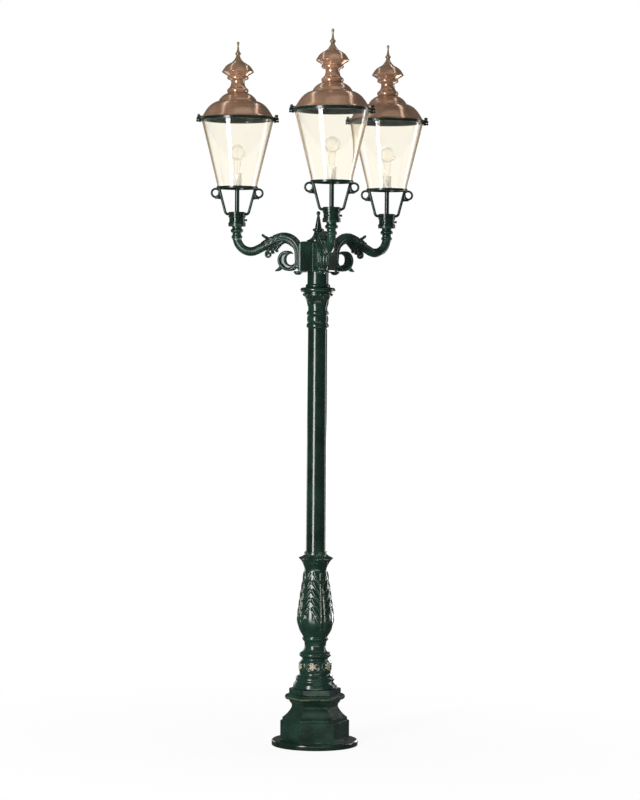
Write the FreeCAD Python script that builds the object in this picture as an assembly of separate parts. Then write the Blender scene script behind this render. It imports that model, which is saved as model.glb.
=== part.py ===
"""Three-head lamp post: a hexagonal plinth, a leafed pedestal, a tapered shaft and a capital carry
a hub with three scroll arms, and each arm holds a round glass lantern under a hinged copper hood.

Millimetres. Z points up, the origin is the centre of the ground plate's underside, and the viewer
stands on the -Y side. Every piece is saved as one file named after it.
"""
import FreeCAD
import Part

import math
import os
from collections import namedtuple

Vector = FreeCAD.Vector
UP = Vector(0, 0, 1)
AXIS_FOOT = Vector(0, 0, 0)
SAME_POINT = 1e-6

# One band of a turned outline: it climbs by rise to the stated radius, and bulge is how far its
# face swells out of the straight line (negative for a hollow)
Moulding = namedtuple("Moulding", "name rise radius bulge", defaults=(0.0,))

# Fits shared by many pieces
SEAT_GAP = 0.2
PIN_PLAY = 0.05
BODY_GAP = 0.3
DOOR_GAP = 1.0
CATCH_HOLE_PLAY = 0.9

# Ground plate
PLATE_RADIUS = 190.0
PLATE_THICKNESS = 25.0
PLATE_TOP_ROUND = 8.0
PLATE_FOOT_ROUND = 3.0
CABLE_HOLE_RADIUS = 40.0
ANCHOR_CIRCLE_RADIUS = 95.0
ANCHOR_HOLE_RADIUS = 9.0
ANCHOR_ANGLES = (-90.0, 30.0, 150.0)
RIM_HEIGHT = 6.0
RIM_WIDTH = 8.0

# Hexagonal plinth, whose sizes are half widths across its flats
PLINTH_HALF_WIDTH = 132.0
PLINTH_WALL = 8.0
PLINTH_BOX_HEIGHT = 82.0
PLINTH_MOULDINGS = (
    Moulding("box edge", 3.0, 129.0),
    Moulding("ledge slope", 3.0, 124.0),
    Moulding("ledge", 10.0, 124.0),
    Moulding("long hollow", 46.0, 88.5, -4.0),
    Moulding("waist", 6.0, 88.5),
    Moulding("flare", 14.0, 95.5, -2.0),
    Moulding("torus seat", 10.0, 99.0),
    Moulding("torus", 29.0, 99.0, 16.0),
    Moulding("drum", 23.0, 99.0),
)
PLINTH_SHOULDER = PLINTH_BOX_HEIGHT - PLINTH_WALL
PLINTH_THROAT_HEIGHT = 140.0
PLINTH_THROAT = 80.0
PLINTH_DECK = 12.0
PLINTH_BOLT_ANGLES = (0.0, 120.0, 240.0)
PLINTH_BOSS_RADIUS = 10.0
PLINTH_BOSS_HEIGHT = 34.0

# Service door in the rear face of the plinth, with its hinge and cam lock
DOOR_WIDTH = 90.0
DOOR_HEIGHT = 60.0
DOOR_THICKNESS = 6.0
DOOR_LIFT = 42.0
DOOR_CORNER = 5.0
KNUCKLE_RADIUS = 5.0
KNUCKLE_LENGTH = 16.0
KNUCKLE_STANDOFF = 0.5
HINGE_OFFSET = 5.0
DOOR_PIN_RADIUS = 2.5
STRAP_LENGTH = 22.0
STRAP_THICKNESS = 4.0
LOCK_INSET = 11.0
LOCK_RADIUS = 7.0
LOCK_HEAD_RADIUS = 9.5
LOCK_HEAD_THICKNESS = 3.0
CAM_LENGTH = 22.0
CAM_WIDTH = 10.0
CAM_THICKNESS = 3.5
CAM_GAP = 1.5
KEY_SLOT = 2.0

# Cable terminal box inside the plinth
BOX_WIDTH = 72.0
BOX_DEPTH = 32.0
BOX_HEIGHT = 54.0
BOX_OFFSET = 62.0
BOX_LID = 6.0
BOX_EDGE = 3.0
GLAND_RADIUS = 8.0
GLAND_LENGTH = 10.0

# Pedestal: a round waist, a leafed vase and a calyx that takes the shaft
PEDESTAL_FOOT_RADIUS = 97.0
PEDESTAL_SPIGOT_RADIUS = 68.0
PEDESTAL_BORE_RADIUS = 34.0
WAIST_MOULDINGS = (
    Moulding("foot band", 5.0, 97.0),
    Moulding("foot taper", 14.0, 95.5),
    Moulding("shoulder", 16.0, 83.0),
    Moulding("lip", 17.0, 80.5, 4.0),
    Moulding("hollow", 13.0, 68.5, -3.0),
    Moulding("drum", 36.0, 67.5),
    Moulding("drum hollow", 26.0, 57.5, -1.2),
    Moulding("torus seat", 7.0, 57.5),
    Moulding("torus", 28.0, 57.5, 13.5),
    Moulding("neck hollow", 31.0, 47.5, -3.5),
    Moulding("neck", 14.0, 49.0),
    Moulding("vase ring", 22.0, 54.0, 6.5),
)
VASE_MOULDINGS = (
    Moulding("round foot", 52.0, 76.0, 4.5),
    Moulding("belly", 53.0, 75.5, 1.9),
    Moulding("flank", 115.0, 59.5, 0.4),
    Moulding("throat", 67.0, 50.0, -1.0),
)
CALYX_MOULDINGS = (
    Moulding("flare", 48.0, 66.0, -4.5),
    Moulding("lip slope", 7.0, 75.0),
    Moulding("lip", 3.0, 75.0),
    Moulding("inner slope", 17.0, 50.0, -3.0),
    Moulding("collar", 13.0, 49.5),
)
PETAL_COUNT = 6
PETAL_NOTCH = 9.0
PETAL_NOTCH_DEPTH = 4.0

# Leaves on the vase, fans on the drum and beads on the capital
LEAF_COUNT = 6
LEAF_TURN = -70.0
LEAF_RELIEF = 3.2
LEAF_LIFT = 24.0
LEAF_LENGTH = 240.0
LEAF_HALF_WIDTH = 33.0
LEAF_LOBES = 6
RIB_RELIEF = 5.4
RIB_WIDTH = 3.6
RIB_SPACING = 6.4
FAN_COUNT = 6
FAN_TURN = -98.0
FAN_PETALS = 5
FAN_SPREAD = 34.0
FAN_RELIEF = 4.0
FAN_HEIGHT = 31.0
FAN_PETAL_WIDTH = 8.0
EGG_COUNT = 18
EGG_RADIUS = 6.5

# Shaft
SHAFT_EXPOSED = 981.0
SHAFT_SOCKET = 60.0
SHAFT_FOOT_RADIUS = 45.0
SHAFT_HEAD_RADIUS = 42.0
SHAFT_BORE_RADIUS = 37.0

# Capital
CAPITAL_FOOT_RADIUS = 44.0
CAPITAL_SPIGOT_LENGTH = 60.0
CAPITAL_BORE_RADIUS = 28.0
CAPITAL_MOULDINGS = (
    Moulding("neck ring", 25.0, 43.5, 5.3),
    Moulding("drum", 32.0, 44.0, 3.2),
    Moulding("drum ring", 21.0, 42.5, 5.3),
    Moulding("bell foot", 18.0, 42.5),
    Moulding("bell", 42.0, 57.0, -3.0),
    Moulding("bell lip", 8.0, 62.5),
    Moulding("lip", 5.0, 62.5),
    Moulding("groove slope", 3.0, 60.0),
    Moulding("groove", 5.0, 60.0),
    Moulding("rim seat", 1.0, 66.0),
    Moulding("rim", 20.0, 66.0, 11.0),
    Moulding("rim top", 2.0, 53.0),
    Moulding("bead", 14.0, 46.5, 4.0),
    Moulding("neck", 4.0, 46.5),
)
EGG_LIFT = 149.0
BELL_LEAF_COUNT = 8
BELL_LEAF_RELIEF = 2.5
BELL_LEAF_LIFT = 98.0
BELL_LEAF_LENGTH = 42.0
BELL_LEAF_HALF_WIDTH = 14.0
BELL_LEAF_LOBES = 2

# Hub and its finial
HUB_NECK_RADIUS = 46.5
HUB_NECK_HEIGHT = 51.0
HUB_HALF_WIDTH = 68.0
HUB_HEIGHT = 131.0
HUB_EDGE = 4.0
HUB_WALL = 12.0
HUB_SPIGOT_LENGTH = 40.0
HUB_BORE_RADIUS = 20.0
FINIAL_STUD_RADIUS = 10.0
FINIAL_FOOT_RADIUS = 50.0
FINIAL_MOULDINGS = (
    Moulding("foot", 6.0, 50.0),
    Moulding("ogee", 34.0, 19.0, -7.0),
    Moulding("neck", 5.0, 17.0),
    Moulding("collar", 12.0, 15.0, 9.0),
    Moulding("cone foot", 3.0, 15.0),
    Moulding("cone", 57.0, 5.0),
    Moulding("ball", 17.0, 1.5, 5.5),
)

# Scroll arms: a cable tube that climbs from the plate, humps over and dips to the lantern
ARM_REACH = 390.0
ARM_NAMES = ("front", "right", "left")
BRACKET_TURN = 5.0
ARM_TUBE_RADIUS = 19.0
ARM_BORE_RADIUS = 8.0
ENTRY_STEP = 1.0
ARM_PLATE_THICKNESS = 12.0
ARM_PLATE_WIDTH = 74.0
ARM_PLATE_DROP = 4.0
ARM_PLATE_RISE = 124.0
ARM_PLATE_CORNER = 8.0
ARM_ROOT_OFFSET = 12.0
ARM_FOOT_LIFT = 14.0
CABLE_DOOR_LIFT = 50.0
HUMP_RADIUS = 72.0
HUMP_LIFT = 77.0
BEND_RADIUS = 68.0
BEND_LIFT = 157.0
PENDANT_RADIUS = 20.0
PENDANT_HEIGHT = 11.0
SCROLL_RADIUS = 36.0
SCROLL_TUBE_RADIUS = 12.5
SCROLL_OFFSET = 34.0
SCROLL_LIFT = 58.0
SCROLL_START = 228.0
SCROLL_SWEEP = 252.0
SCROLL_EYE_RADIUS = 13.5
SCROLL_HEEL_RADIUS = 14.5
TAIL_LENGTH = 62.0
TAIL_ANGLE = -38.0
TAIL_RADIUS = 10.0
TAIL_TIP_RADIUS = 2.5
SHEATH_RADIUS = 22.5
SHEATH_LOBES = 5
SHEATH_START = 158.0
SHEATH_REACH = 46.0
SHEATH_LOBE_DEPTH = 9.0
FLICK_LENGTH = 40.0
FLICK_ANGLE = 42.0
FLICK_RADIUS = 9.0
FLICK_TIP_RADIUS = 3.5
DROOP_THICKNESS = 30.0
DROOP_LENGTH = 88.0
DROOP_HALF_WIDTH = 18.0
DROOP_LOBES = 3
DROOP_ANGLE = -52.0
DROOP_BACK = 16.0
SOCKET_START_DROP = 16.0
SOCKET_MOULDINGS = (
    Moulding("ring seat", 4.0, 19.0),
    Moulding("ring", 18.0, 19.0, 6.5),
    Moulding("neck", 7.0, 19.0),
    Moulding("bead", 22.0, 21.0, 8.0),
    Moulding("throat", 8.0, 22.0),
    Moulding("disc underside", 1.0, 38.5),
    Moulding("disc", 8.0, 38.5),
)
SPIGOT_RADIUS = 27.0
SPIGOT_HEIGHT = 44.0
BOLT_RADIUS = 4.0
BOLT_LENGTH = 20.0
BOLT_HEAD_RADIUS = 7.0
BOLT_HEAD_HEIGHT = 5.0
BOLT_SIDE = 27.0
BOLT_RISE = 46.0

# Screws that pin the sections of the post and the lantern sleeves
GRUB_RADIUS = 4.0
GRUB_HEAD = 2.0
GRUB_ANGLES = (-60.0, 60.0, 180.0)
SLEEVE_SCREW_RADIUS = 3.5
SLEEVE_SCREW_HEAD_RADIUS = 5.0
SLEEVE_SCREW_STANDOFF = 8.0
SLEEVE_SCREW_ANGLES = (0.0, 120.0, 240.0)
SLEEVE_SCREW_LIFT = 20.0

# Lantern cradle, with heights above the disc of the arm's socket
SLEEVE_RADIUS = 37.0
SLEEVE_MOULDINGS = (
    Moulding("foot band", 9.0, 37.0),
    Moulding("groove edge", 2.0, 34.5),
    Moulding("screw band", 19.0, 34.5),
    Moulding("middle ring", 8.0, 34.5, 2.5),
    Moulding("neck", 5.0, 34.5),
    Moulding("crown slope", 1.0, 36.5),
    Moulding("crown", 12.0, 36.5),
)
SLEEVE_TABS = 8
SLEEVE_NOTCH_WIDTH = 9.0
SLEEVE_NOTCH_DEPTH = 5.0
SLEEVE_NOTCH_INSET = 5.0
BAR_RADIUS = 6.0
BAR_ROOT = 30.0
BAR_ELBOW_REACH = 50.0
BAR_ELBOW_LIFT = 46.0
BAR_ELBOW_RADIUS = 14.0
BAR_TOP_REACH = 80.0
CRADLE_RING_LIFT = 158.0
CRADLE_RING_THICKNESS = 7.0
CRADLE_RING_WIDTH = 16.0
CRADLE_RING_ROUND = 3.0
CRADLE_LIP_HEIGHT = 3.5
CRADLE_LIP_WIDTH = 2.8
LOOP_HOLE_RADIUS = 13.5
LOOP_WIRE_RADIUS = 4.8
LOOP_REACH = 95.0
LOOP_KNUCKLE_RADIUS = 8.0
LOOP_KNUCKLE_ANGLE = 238.0

# Lamp
CONDUIT_RADIUS = 10.0
CONDUIT_WALL = 2.0
CONDUIT_STANDUP = 5.0
TRAY_THICKNESS = 2.5
TRAY_OVERLAP = 7.0
HOLDER_FOOT_RADIUS = 24.0
HOLDER_MOULDINGS = (
    Moulding("foot", 6.0, 24.0),
    Moulding("step", 2.0, 19.0),
    Moulding("body", 44.0, 19.0),
    Moulding("rim", 8.0, 20.5),
)
HOLDER_SOCKET_DEPTH = 30.0
CAP_RADIUS = 13.2
BULB_RADIUS = 38.0
BULB_CENTRE_LIFT = 92.0
BULB_NECK_RADIUS = 15.0
BULB_WAIST_ANGLE = -50.0

# Glass shade and its seal
GLASS_WALL = 4.0
SHADE_FOOT_RADIUS = 88.5
SHADE_TURN_RADIUS = 94.0
SHADE_TURN_HEIGHT = 31.0
SHADE_TOP_RADIUS = 160.5
SHADE_HEIGHT = 299.0
SEAL_THICKNESS = 2.0

# Crown ring on top of the glass
RING_SKIRT = 5.0
RING_HEIGHT = 13.0
RING_WALL = 4.0
RING_FLANGE_THICKNESS = 5.0
RING_FLANGE_WIDTH = 12.0
RING_UPSTAND = 12.0
RING_ROUND = 2.0
EAR_REACH = 18.0
EAR_HALF_WIDTH = 9.0
EAR_HEIGHT = 9.0
GLASS_SCREW_RADIUS = 3.0
GLASS_SCREW_BALL = 5.0
GLASS_SCREW_BOSS_RADIUS = 5.5
GLASS_SCREW_DROP = 2.0
GLASS_SCREW_BOSS_LENGTH = 8.0
GLASS_SCREW_STANDOFF = 4.0

# Hood hinge on the left of each lantern and catch on its right
HINGE_REACH = 8.0
HINGE_LIFT = 8.0
HINGE_EYE_RADIUS = 6.0
HINGE_EYE_HALF_LENGTH = 6.0
HINGE_CHEEK_WIDTH = 6.0
HINGE_CHEEK_RADIUS = 6.5
HINGE_PIN_RADIUS = 3.0
HINGE_PIN_STANDOUT = 1.5
LUG_THICKNESS = 4.5
LUG_HALF_WIDTH = 7.0
LUG_REACH = 16.0
LUG_ROOT = 3.0
CATCH_SHANK_RADIUS = 3.0
CATCH_SHANK_DEPTH = 8.0
CATCH_KNOB_RADIUS = 7.5
CATCH_KNOB_HEIGHT = 9.0
CATCH_FLUTES = 8
CATCH_FLUTE_RADIUS = 1.6

# Spun copper hood, vent turret and spire
HOOD_WALL = 2.0
HOOD_RIM_RADIUS = 159.0
HOOD_MOULDINGS = (
    Moulding("rolled rim", 5.0, 157.5, 1.5),
    Moulding("lower dome", 48.0, 114.0, 2.0),
    Moulding("dome shoulder", 20.0, 85.5, 1.2),
    Moulding("step", 3.0, 82.0),
    Moulding("step hollow", 1.5, 80.0),
    Moulding("upper dome", 39.5, 48.0, 6.5),
    Moulding("crown", 1.0, 40.0),
)
TURRET_FOOT_RADIUS = 38.0
TURRET_BORE_RADIUS = 24.0
TURRET_SPIGOT_LENGTH = 8.0
TURRET_MOULDINGS = (
    Moulding("foot", 1.0, 38.0),
    Moulding("lower ring", 19.0, 34.0, 9.5),
    Moulding("neck", 34.0, 36.0, -4.0),
    Moulding("upper ring", 16.5, 39.0, 8.0),
    Moulding("cap underside", 19.0, 67.5, -1.0),
    Moulding("cap rim", 3.0, 68.5, 0.6),
    Moulding("cap flank", 19.0, 60.0, 2.6),
    Moulding("cap crown", 12.0, 34.0, 4.0),
    Moulding("cap top", 10.0, 19.0, -2.0),
)
TURRET_CAP_WALL = 6.0
SPIRE_FOOT_RADIUS = 19.0
SPIRE_STUD_RADIUS = 6.0
SPIRE_STUD_LENGTH = 12.0
SPIRE_MOULDINGS = (
    Moulding("foot", 2.0, 18.5),
    Moulding("hollow", 17.0, 8.0, -3.0),
    Moulding("neck", 8.0, 8.5),
    Moulding("knob", 13.0, 6.5, 6.0),
    Moulding("spike", 33.0, 3.5, -0.5),
    Moulding("ball", 13.0, 1.5, 4.8),
)


def rise_of(mouldings):
    """Height of a run of mouldings."""
    return sum(band.rise for band in mouldings)


# Heights worked out from the pieces below
PLINTH_HEIGHT = PLINTH_BOX_HEIGHT + rise_of(PLINTH_MOULDINGS)
PEDESTAL_BASE = PLATE_THICKNESS + PLINTH_HEIGHT
VASE_BASE = PEDESTAL_BASE + rise_of(WAIST_MOULDINGS)
CALYX_BASE = VASE_BASE + rise_of(VASE_MOULDINGS)
PEDESTAL_TOP = CALYX_BASE + rise_of(CALYX_MOULDINGS)
SHAFT_TOP = PEDESTAL_TOP + SHAFT_EXPOSED
CAPITAL_TOP = SHAFT_TOP + rise_of(CAPITAL_MOULDINGS)
HUB_BASE = CAPITAL_TOP + HUB_NECK_HEIGHT
HUB_TOP = HUB_BASE + HUB_HEIGHT
SOCKET_BASE = HUB_BASE + BEND_LIFT - SOCKET_START_DROP
LANTERN_SEAT = SOCKET_BASE + rise_of(SOCKET_MOULDINGS)

# Heights inside one lantern, above its seat
SLEEVE_TOP = rise_of(SLEEVE_MOULDINGS)
CRADLE_RING_TOP = CRADLE_RING_LIFT + CRADLE_RING_THICKNESS
TRAY_TOP = CRADLE_RING_TOP + TRAY_THICKNESS
SHADE_FOOT = CRADLE_RING_TOP + SEAL_THICKNESS
SHADE_TOP = SHADE_FOOT + SHADE_HEIGHT
RING_FOOT = SHADE_TOP - RING_SKIRT
RING_TOP = RING_FOOT + RING_HEIGHT
RING_OUTER = SHADE_TOP_RADIUS + BODY_GAP + RING_WALL
HOOD_BASE = RING_TOP + BODY_GAP
TURRET_BASE = HOOD_BASE + rise_of(HOOD_MOULDINGS)
SPIRE_BASE = TURRET_BASE + rise_of(TURRET_MOULDINGS)
CRADLE_LIP_RADIUS = SHADE_FOOT_RADIUS + 2 * BODY_GAP
CRADLE_RING_OUTER = CRADLE_LIP_RADIUS + CRADLE_LIP_WIDTH
HINGE_X = -(RING_OUTER + HINGE_REACH)
HINGE_Z = RING_TOP + HINGE_LIFT
CATCH_X = RING_OUTER + HINGE_REACH


# Shared makers


def at(point):
    """Point of the XZ plane as a vector."""
    return Vector(point[0], 0, point[1])


def along(angle, length=1.0):
    """Point at a length and an angle in degrees from the plane's origin."""
    turn = math.radians(angle)
    return (length * math.cos(turn), length * math.sin(turn))


def moved(point, angle, length):
    """Point reached from another by going a length at an angle in degrees."""
    step = along(angle, length)
    return (point[0] + step[0], point[1] + step[1])


def outline_edges(points):
    """Edges in the XZ plane through points, where a pair of points is an arc through the first."""
    edges = []
    here = points[0]
    for move in points[1:]:
        if isinstance(move[0], tuple):
            via, there = move
            edges.append(Part.Arc(at(here), at(via), at(there)).toShape())
        else:
            there = move
            edges.append(Part.LineSegment(at(here), at(there)).toShape())
        here = there
    return edges


def profile(points):
    """Closed face in the XZ plane, whose last point may close it or leave that to a line."""
    closing = [] if math.dist(top_of(points), points[0]) < SAME_POINT else [points[0]]
    return Part.Face(Part.Wire(outline_edges(list(points) + closing)))


def outward(solid):
    """The solid with its faces pointing out."""
    if solid.Volume < 0:
        solid.reverse()
    return solid


def turned(points):
    """Solid turned about the Z axis from an outline of (radius, height) points."""
    return outward(profile(points).revolve(AXIS_FOOT, UP, 360))


def climb(start_radius, base, mouldings, swell=0.0):
    """Points up a run of mouldings, all moved out by swell."""
    here = (start_radius + swell, base)
    points = [here]
    for band in mouldings:
        there = (band.radius + swell, here[1] + band.rise)
        length = math.dist(here, there)
        if band.bulge:
            normal = ((there[1] - here[1]) / length, (here[0] - there[0]) / length)
            middle = ((here[0] + there[0]) / 2, (here[1] + there[1]) / 2)
            via = (middle[0] + band.bulge * normal[0], middle[1] + band.bulge * normal[1])
            points.append((via, there))
        elif length > 0:
            points.append(there)
        here = there
    return points


def top_of(points):
    """Last point of an outline."""
    last = points[-1]
    if isinstance(last[0], tuple):
        last = last[1]
    return last


def turned_stack(start_radius, base, mouldings, swell=0.0):
    """Solid turned piece made of a run of mouldings."""
    points = climb(start_radius, base, mouldings, swell)
    return turned([(0.0, base)] + points + [(0.0, top_of(points)[1])])


def rod(radius, base, top):
    """Cylinder on the Z axis between two heights."""
    return Part.makeCylinder(radius, top - base, Vector(0, 0, base))


def tube(outer, inner, base, top):
    """Round tube on the Z axis between two heights."""
    return rod(outer, base, top).cut(rod(inner, base, top))


def cross_rod(radius, start, end):
    """Cylinder between any two points."""
    return Part.makeCylinder(radius, (end - start).Length, start, end - start)


def block(low, high):
    """Box between two corners."""
    size = Vector(*high) - Vector(*low)
    return Part.makeBox(size.x, size.y, size.z, Vector(*low))


def spun(shape, angle):
    """Copy turned about the Z axis by an angle in degrees."""
    copy = shape.copy()
    copy.rotate(AXIS_FOOT, UP, angle)
    return copy


def shifted(shape, x, y, z):
    """Copy moved by a step."""
    copy = shape.copy()
    copy.translate(Vector(x, y, z))
    return copy


def ring_of(shape, count, start=0.0):
    """Copies spread evenly about the Z axis."""
    return [spun(shape, start + 360.0 * index / count) for index in range(count)]


def joined(shapes):
    """One solid from pieces that meet."""
    return shapes[0].multiFuse(shapes[1:]).removeSplitter()


def without(shape, cutters):
    """The shape with each cutter taken out of it in turn."""
    for cutter in cutters:
        shape = shape.cut(cutter)
    return shape


def hexagonal(points):
    """Solid whose six sides share an outline of (half width, height) points, mitred at the corners."""
    reach = 2.0 * max(point[-1][0] if isinstance(point[0], tuple) else point[0] for point in points)
    base = min(point[-1][1] if isinstance(point[0], tuple) else point[1] for point in points)
    top = max(point[-1][1] if isinstance(point[0], tuple) else point[1] for point in points)
    bar = profile(points).extrude(Vector(0, 2 * reach, 0))
    bar.translate(Vector(0, -reach, 0))
    corner = reach * math.tan(math.radians(30))
    wedge_points = [AXIS_FOOT, Vector(reach, -corner, 0), Vector(reach, corner, 0), AXIS_FOOT]
    wedge = Part.Face(Part.makePolygon(wedge_points)).extrude(Vector(0, 0, top - base))
    wedge.translate(Vector(0, 0, base))
    side = outward(bar).common(outward(wedge))
    return spun(joined(ring_of(side, 6)), 30)


def hexagonal_prism(half_width, base, top):
    """Plain hexagonal bar with its faces set as the plinth's."""
    return hexagonal([(0.0, base), (half_width, base), (half_width, top), (0.0, top)])


def hexagonal_taper(low_half_width, base, high_half_width, top):
    """Hexagonal pyramid stump."""
    return hexagonal([(0.0, base), (low_half_width, base), (high_half_width, top), (0.0, top)])


def leaf_points(length, half_width, lobes):
    """Outline of an upright acanthus leaf, from its foot at the plane's origin, with lobed sides."""
    widest = 0.35
    spread = 0.70
    valley_share = 0.66
    tip_share = 0.86

    def width(share):
        return half_width * (1.0 - ((share - widest) / spread) ** 2)

    right = [(valley_share * width(0.0), 0.0)]
    for lobe in range(lobes):
        root = lobe / lobes
        tip = (lobe + tip_share) / lobes
        after = (lobe + 1) / lobes
        middle = (root + tip) / 2
        via = (0.99 * width(middle), (middle - 0.1 / lobes) * length)
        right.append((via, (width(tip), tip * length)))
        if lobe < lobes - 1:
            right.append((valley_share * width(after), after * length))
    right.append((0.0, length))
    left = []
    flat = [point[-1] if isinstance(point[0], tuple) else point for point in right]
    for index in range(len(right) - 1, 0, -1):
        there = (-flat[index - 1][0], flat[index - 1][1])
        if isinstance(right[index][0], tuple):
            via = (-right[index][0][0], right[index][0][1])
            left.append((via, there))
        else:
            left.append(there)
    return right + left


def radial_prism(points, lift, reach):
    """Outline drawn on a wall that faces +Y, pushed out to a reach and raised by a lift."""
    prism = outward(profile(points).extrude(Vector(0, reach, 0)))
    return shifted(prism, 0, 0, lift)


def sweep(edges, radius):
    """Round bar along a path of lines and tangent arcs in the XZ plane."""
    spine = Part.Wire(edges)
    first = edges[0]
    start = first.valueAt(first.FirstParameter)
    heading = first.tangentAt(first.FirstParameter)
    ring = Part.Wire(Part.Circle(start, heading, radius).toShape())
    return outward(Part.Solid(spine.makePipeShell([ring], True, False).Shells[0]))


def horn(start, angle, length, foot_radius, tip_radius):
    """Tapered round tongue in the XZ plane with a ball at its tip."""
    tip = moved(start, angle, length)
    cone = Part.makeCone(foot_radius, tip_radius, length, at(start), at(along(angle)))
    return cone.fuse(Part.makeSphere(tip_radius, at(tip)))


# Post


def ground_plate():
    """Round plate with a cable hole, anchor holes, bolt holes and a rim that centres the plinth."""
    top = PLATE_THICKNESS
    edge = math.sqrt(0.5)
    foot_middle = (PLATE_RADIUS - PLATE_FOOT_ROUND * (1 - edge), PLATE_FOOT_ROUND * (1 - edge))
    top_middle = (PLATE_RADIUS - PLATE_TOP_ROUND * (1 - edge), top - PLATE_TOP_ROUND * (1 - edge))
    rim_outer = PLINTH_HALF_WIDTH - PLINTH_WALL - SEAT_GAP
    plate = turned([
        (CABLE_HOLE_RADIUS, 0.0),
        (PLATE_RADIUS - PLATE_FOOT_ROUND, 0.0),
        (foot_middle, (PLATE_RADIUS, PLATE_FOOT_ROUND)),
        (PLATE_RADIUS, top - PLATE_TOP_ROUND),
        (top_middle, (PLATE_RADIUS - PLATE_TOP_ROUND, top)),
        (rim_outer, top),
        (rim_outer, top + RIM_HEIGHT),
        (rim_outer - RIM_WIDTH, top + RIM_HEIGHT),
        (rim_outer - RIM_WIDTH, top),
        (CABLE_HOLE_RADIUS, top),
    ])
    anchor = shifted(rod(ANCHOR_HOLE_RADIUS, 0, top), ANCHOR_CIRCLE_RADIUS, 0, 0)
    cutters = [spun(anchor, angle) for angle in ANCHOR_ANGLES]
    head = rod(BOLT_HEAD_RADIUS + SEAT_GAP, 0, BOLT_HEAD_HEIGHT + SEAT_GAP)
    shank = rod(BOLT_RADIUS + SEAT_GAP, 0, top)
    for angle in PLINTH_BOLT_ANGLES:
        cutters.append(spun(shifted(head, plinth_bolt_reach(), 0, 0), angle))
        cutters.append(spun(shifted(shank, plinth_bolt_reach(), 0, 0), angle))
    return without(plate, cutters)


def plinth_bolt_reach():
    """Distance of a plinth bolt from the axis, in an inner corner of the plinth."""
    return PLINTH_HALF_WIDTH - PLINTH_WALL + PLINTH_BOSS_RADIUS


def plinth_bolts():
    """Bolts from below that hold the plinth on the ground plate."""
    length = PLATE_THICKNESS + BOLT_LENGTH
    bolt = rod(BOLT_HEAD_RADIUS, SEAT_GAP, BOLT_HEAD_HEIGHT + SEAT_GAP)
    bolt = bolt.fuse(rod(BOLT_RADIUS, SEAT_GAP, length)).removeSplitter()
    bolt = shifted(bolt, plinth_bolt_reach(), 0, 0)
    return Part.makeCompound([spun(bolt, angle) for angle in PLINTH_BOLT_ANGLES])


def door_centre():
    """Height of the middle of the service door."""
    return PLATE_THICKNESS + DOOR_LIFT


def door_hinge():
    """Plan position of the door's hinge axis."""
    return (-DOOR_WIDTH / 2 - HINGE_OFFSET, PLINTH_HALF_WIDTH + KNUCKLE_RADIUS + KNUCKLE_STANDOFF)


def upright(shape_radius, half_low, half_high):
    """Cylinder on the door's hinge axis, between heights counted from the door's middle."""
    x, y = door_hinge()
    return shifted(rod(shape_radius, half_low, half_high), x, y, door_centre())


def door_panel(grow, depth_low, depth_high):
    """Rounded panel of the door's size, grown all round, between two depths."""
    half_width = DOOR_WIDTH / 2 + grow
    half_height = DOOR_HEIGHT / 2 + grow
    low = (-half_width, depth_low, door_centre() - half_height)
    high = (half_width, depth_high, door_centre() + half_height)
    panel = block(low, high)
    corners = [edge for edge in panel.Edges if abs(edge.tangentAt(edge.FirstParameter).y) > 0.9]
    return panel.makeFillet(DOOR_CORNER + grow, corners)


def plinth():
    """Hollow hexagonal casting with the door opening, hinge knuckles and bolt bosses."""
    base = PLATE_THICKNESS
    points = climb(PLINTH_HALF_WIDTH, base + PLINTH_BOX_HEIGHT, PLINTH_MOULDINGS)
    top = top_of(points)[1]
    body = hexagonal([(0.0, base), (PLINTH_HALF_WIDTH, base)] + points + [(0.0, top)])
    inner = PLINTH_HALF_WIDTH - PLINTH_WALL
    hollow = [
        hexagonal_prism(inner, base, base + PLINTH_SHOULDER),
        hexagonal_taper(inner, base + PLINTH_SHOULDER, PLINTH_THROAT, base + PLINTH_THROAT_HEIGHT),
        hexagonal_prism(PLINTH_THROAT, base + PLINTH_THROAT_HEIGHT, top - PLINTH_DECK),
        rod(PEDESTAL_SPIGOT_RADIUS + SEAT_GAP, top - PLINTH_DECK, top),
    ]
    opening = door_panel(DOOR_GAP, inner - PLINTH_WALL, PLINTH_HALF_WIDTH + PLINTH_WALL)
    body = without(body, hollow + [opening])
    boss = rod(PLINTH_BOSS_RADIUS, base, base + PLINTH_BOSS_HEIGHT)
    thread = rod(BOLT_RADIUS + SEAT_GAP, base, base + BOLT_LENGTH + 2 * SEAT_GAP)
    bosses = [spun(shifted(boss, plinth_bolt_reach(), 0, 0), a) for a in PLINTH_BOLT_ANGLES]
    threads = [spun(shifted(thread, plinth_bolt_reach(), 0, 0), a) for a in PLINTH_BOLT_ANGLES]
    knuckles = []
    for low, high in fixed_knuckle_spans():
        knuckles.append(upright(KNUCKLE_RADIUS, low, high))
        x, y = door_hinge()
        foot_low = (x - KNUCKLE_RADIUS, PLINTH_HALF_WIDTH - KNUCKLE_STANDOFF, door_centre() + low)
        knuckles.append(block(foot_low, (x, y, door_centre() + high)))
    body = joined([body] + bosses + knuckles)
    pin_hole = upright(DOOR_PIN_RADIUS + PIN_PLAY, -2 * KNUCKLE_LENGTH, 2 * KNUCKLE_LENGTH)
    return without(body, threads + [pin_hole])


def fixed_knuckle_spans():
    """Heights of the two fixed knuckles, counted from the door's middle."""
    inner = KNUCKLE_LENGTH / 2 + BODY_GAP
    return ((-inner - KNUCKLE_LENGTH / 2, -inner), (inner, inner + KNUCKLE_LENGTH / 2))


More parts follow.
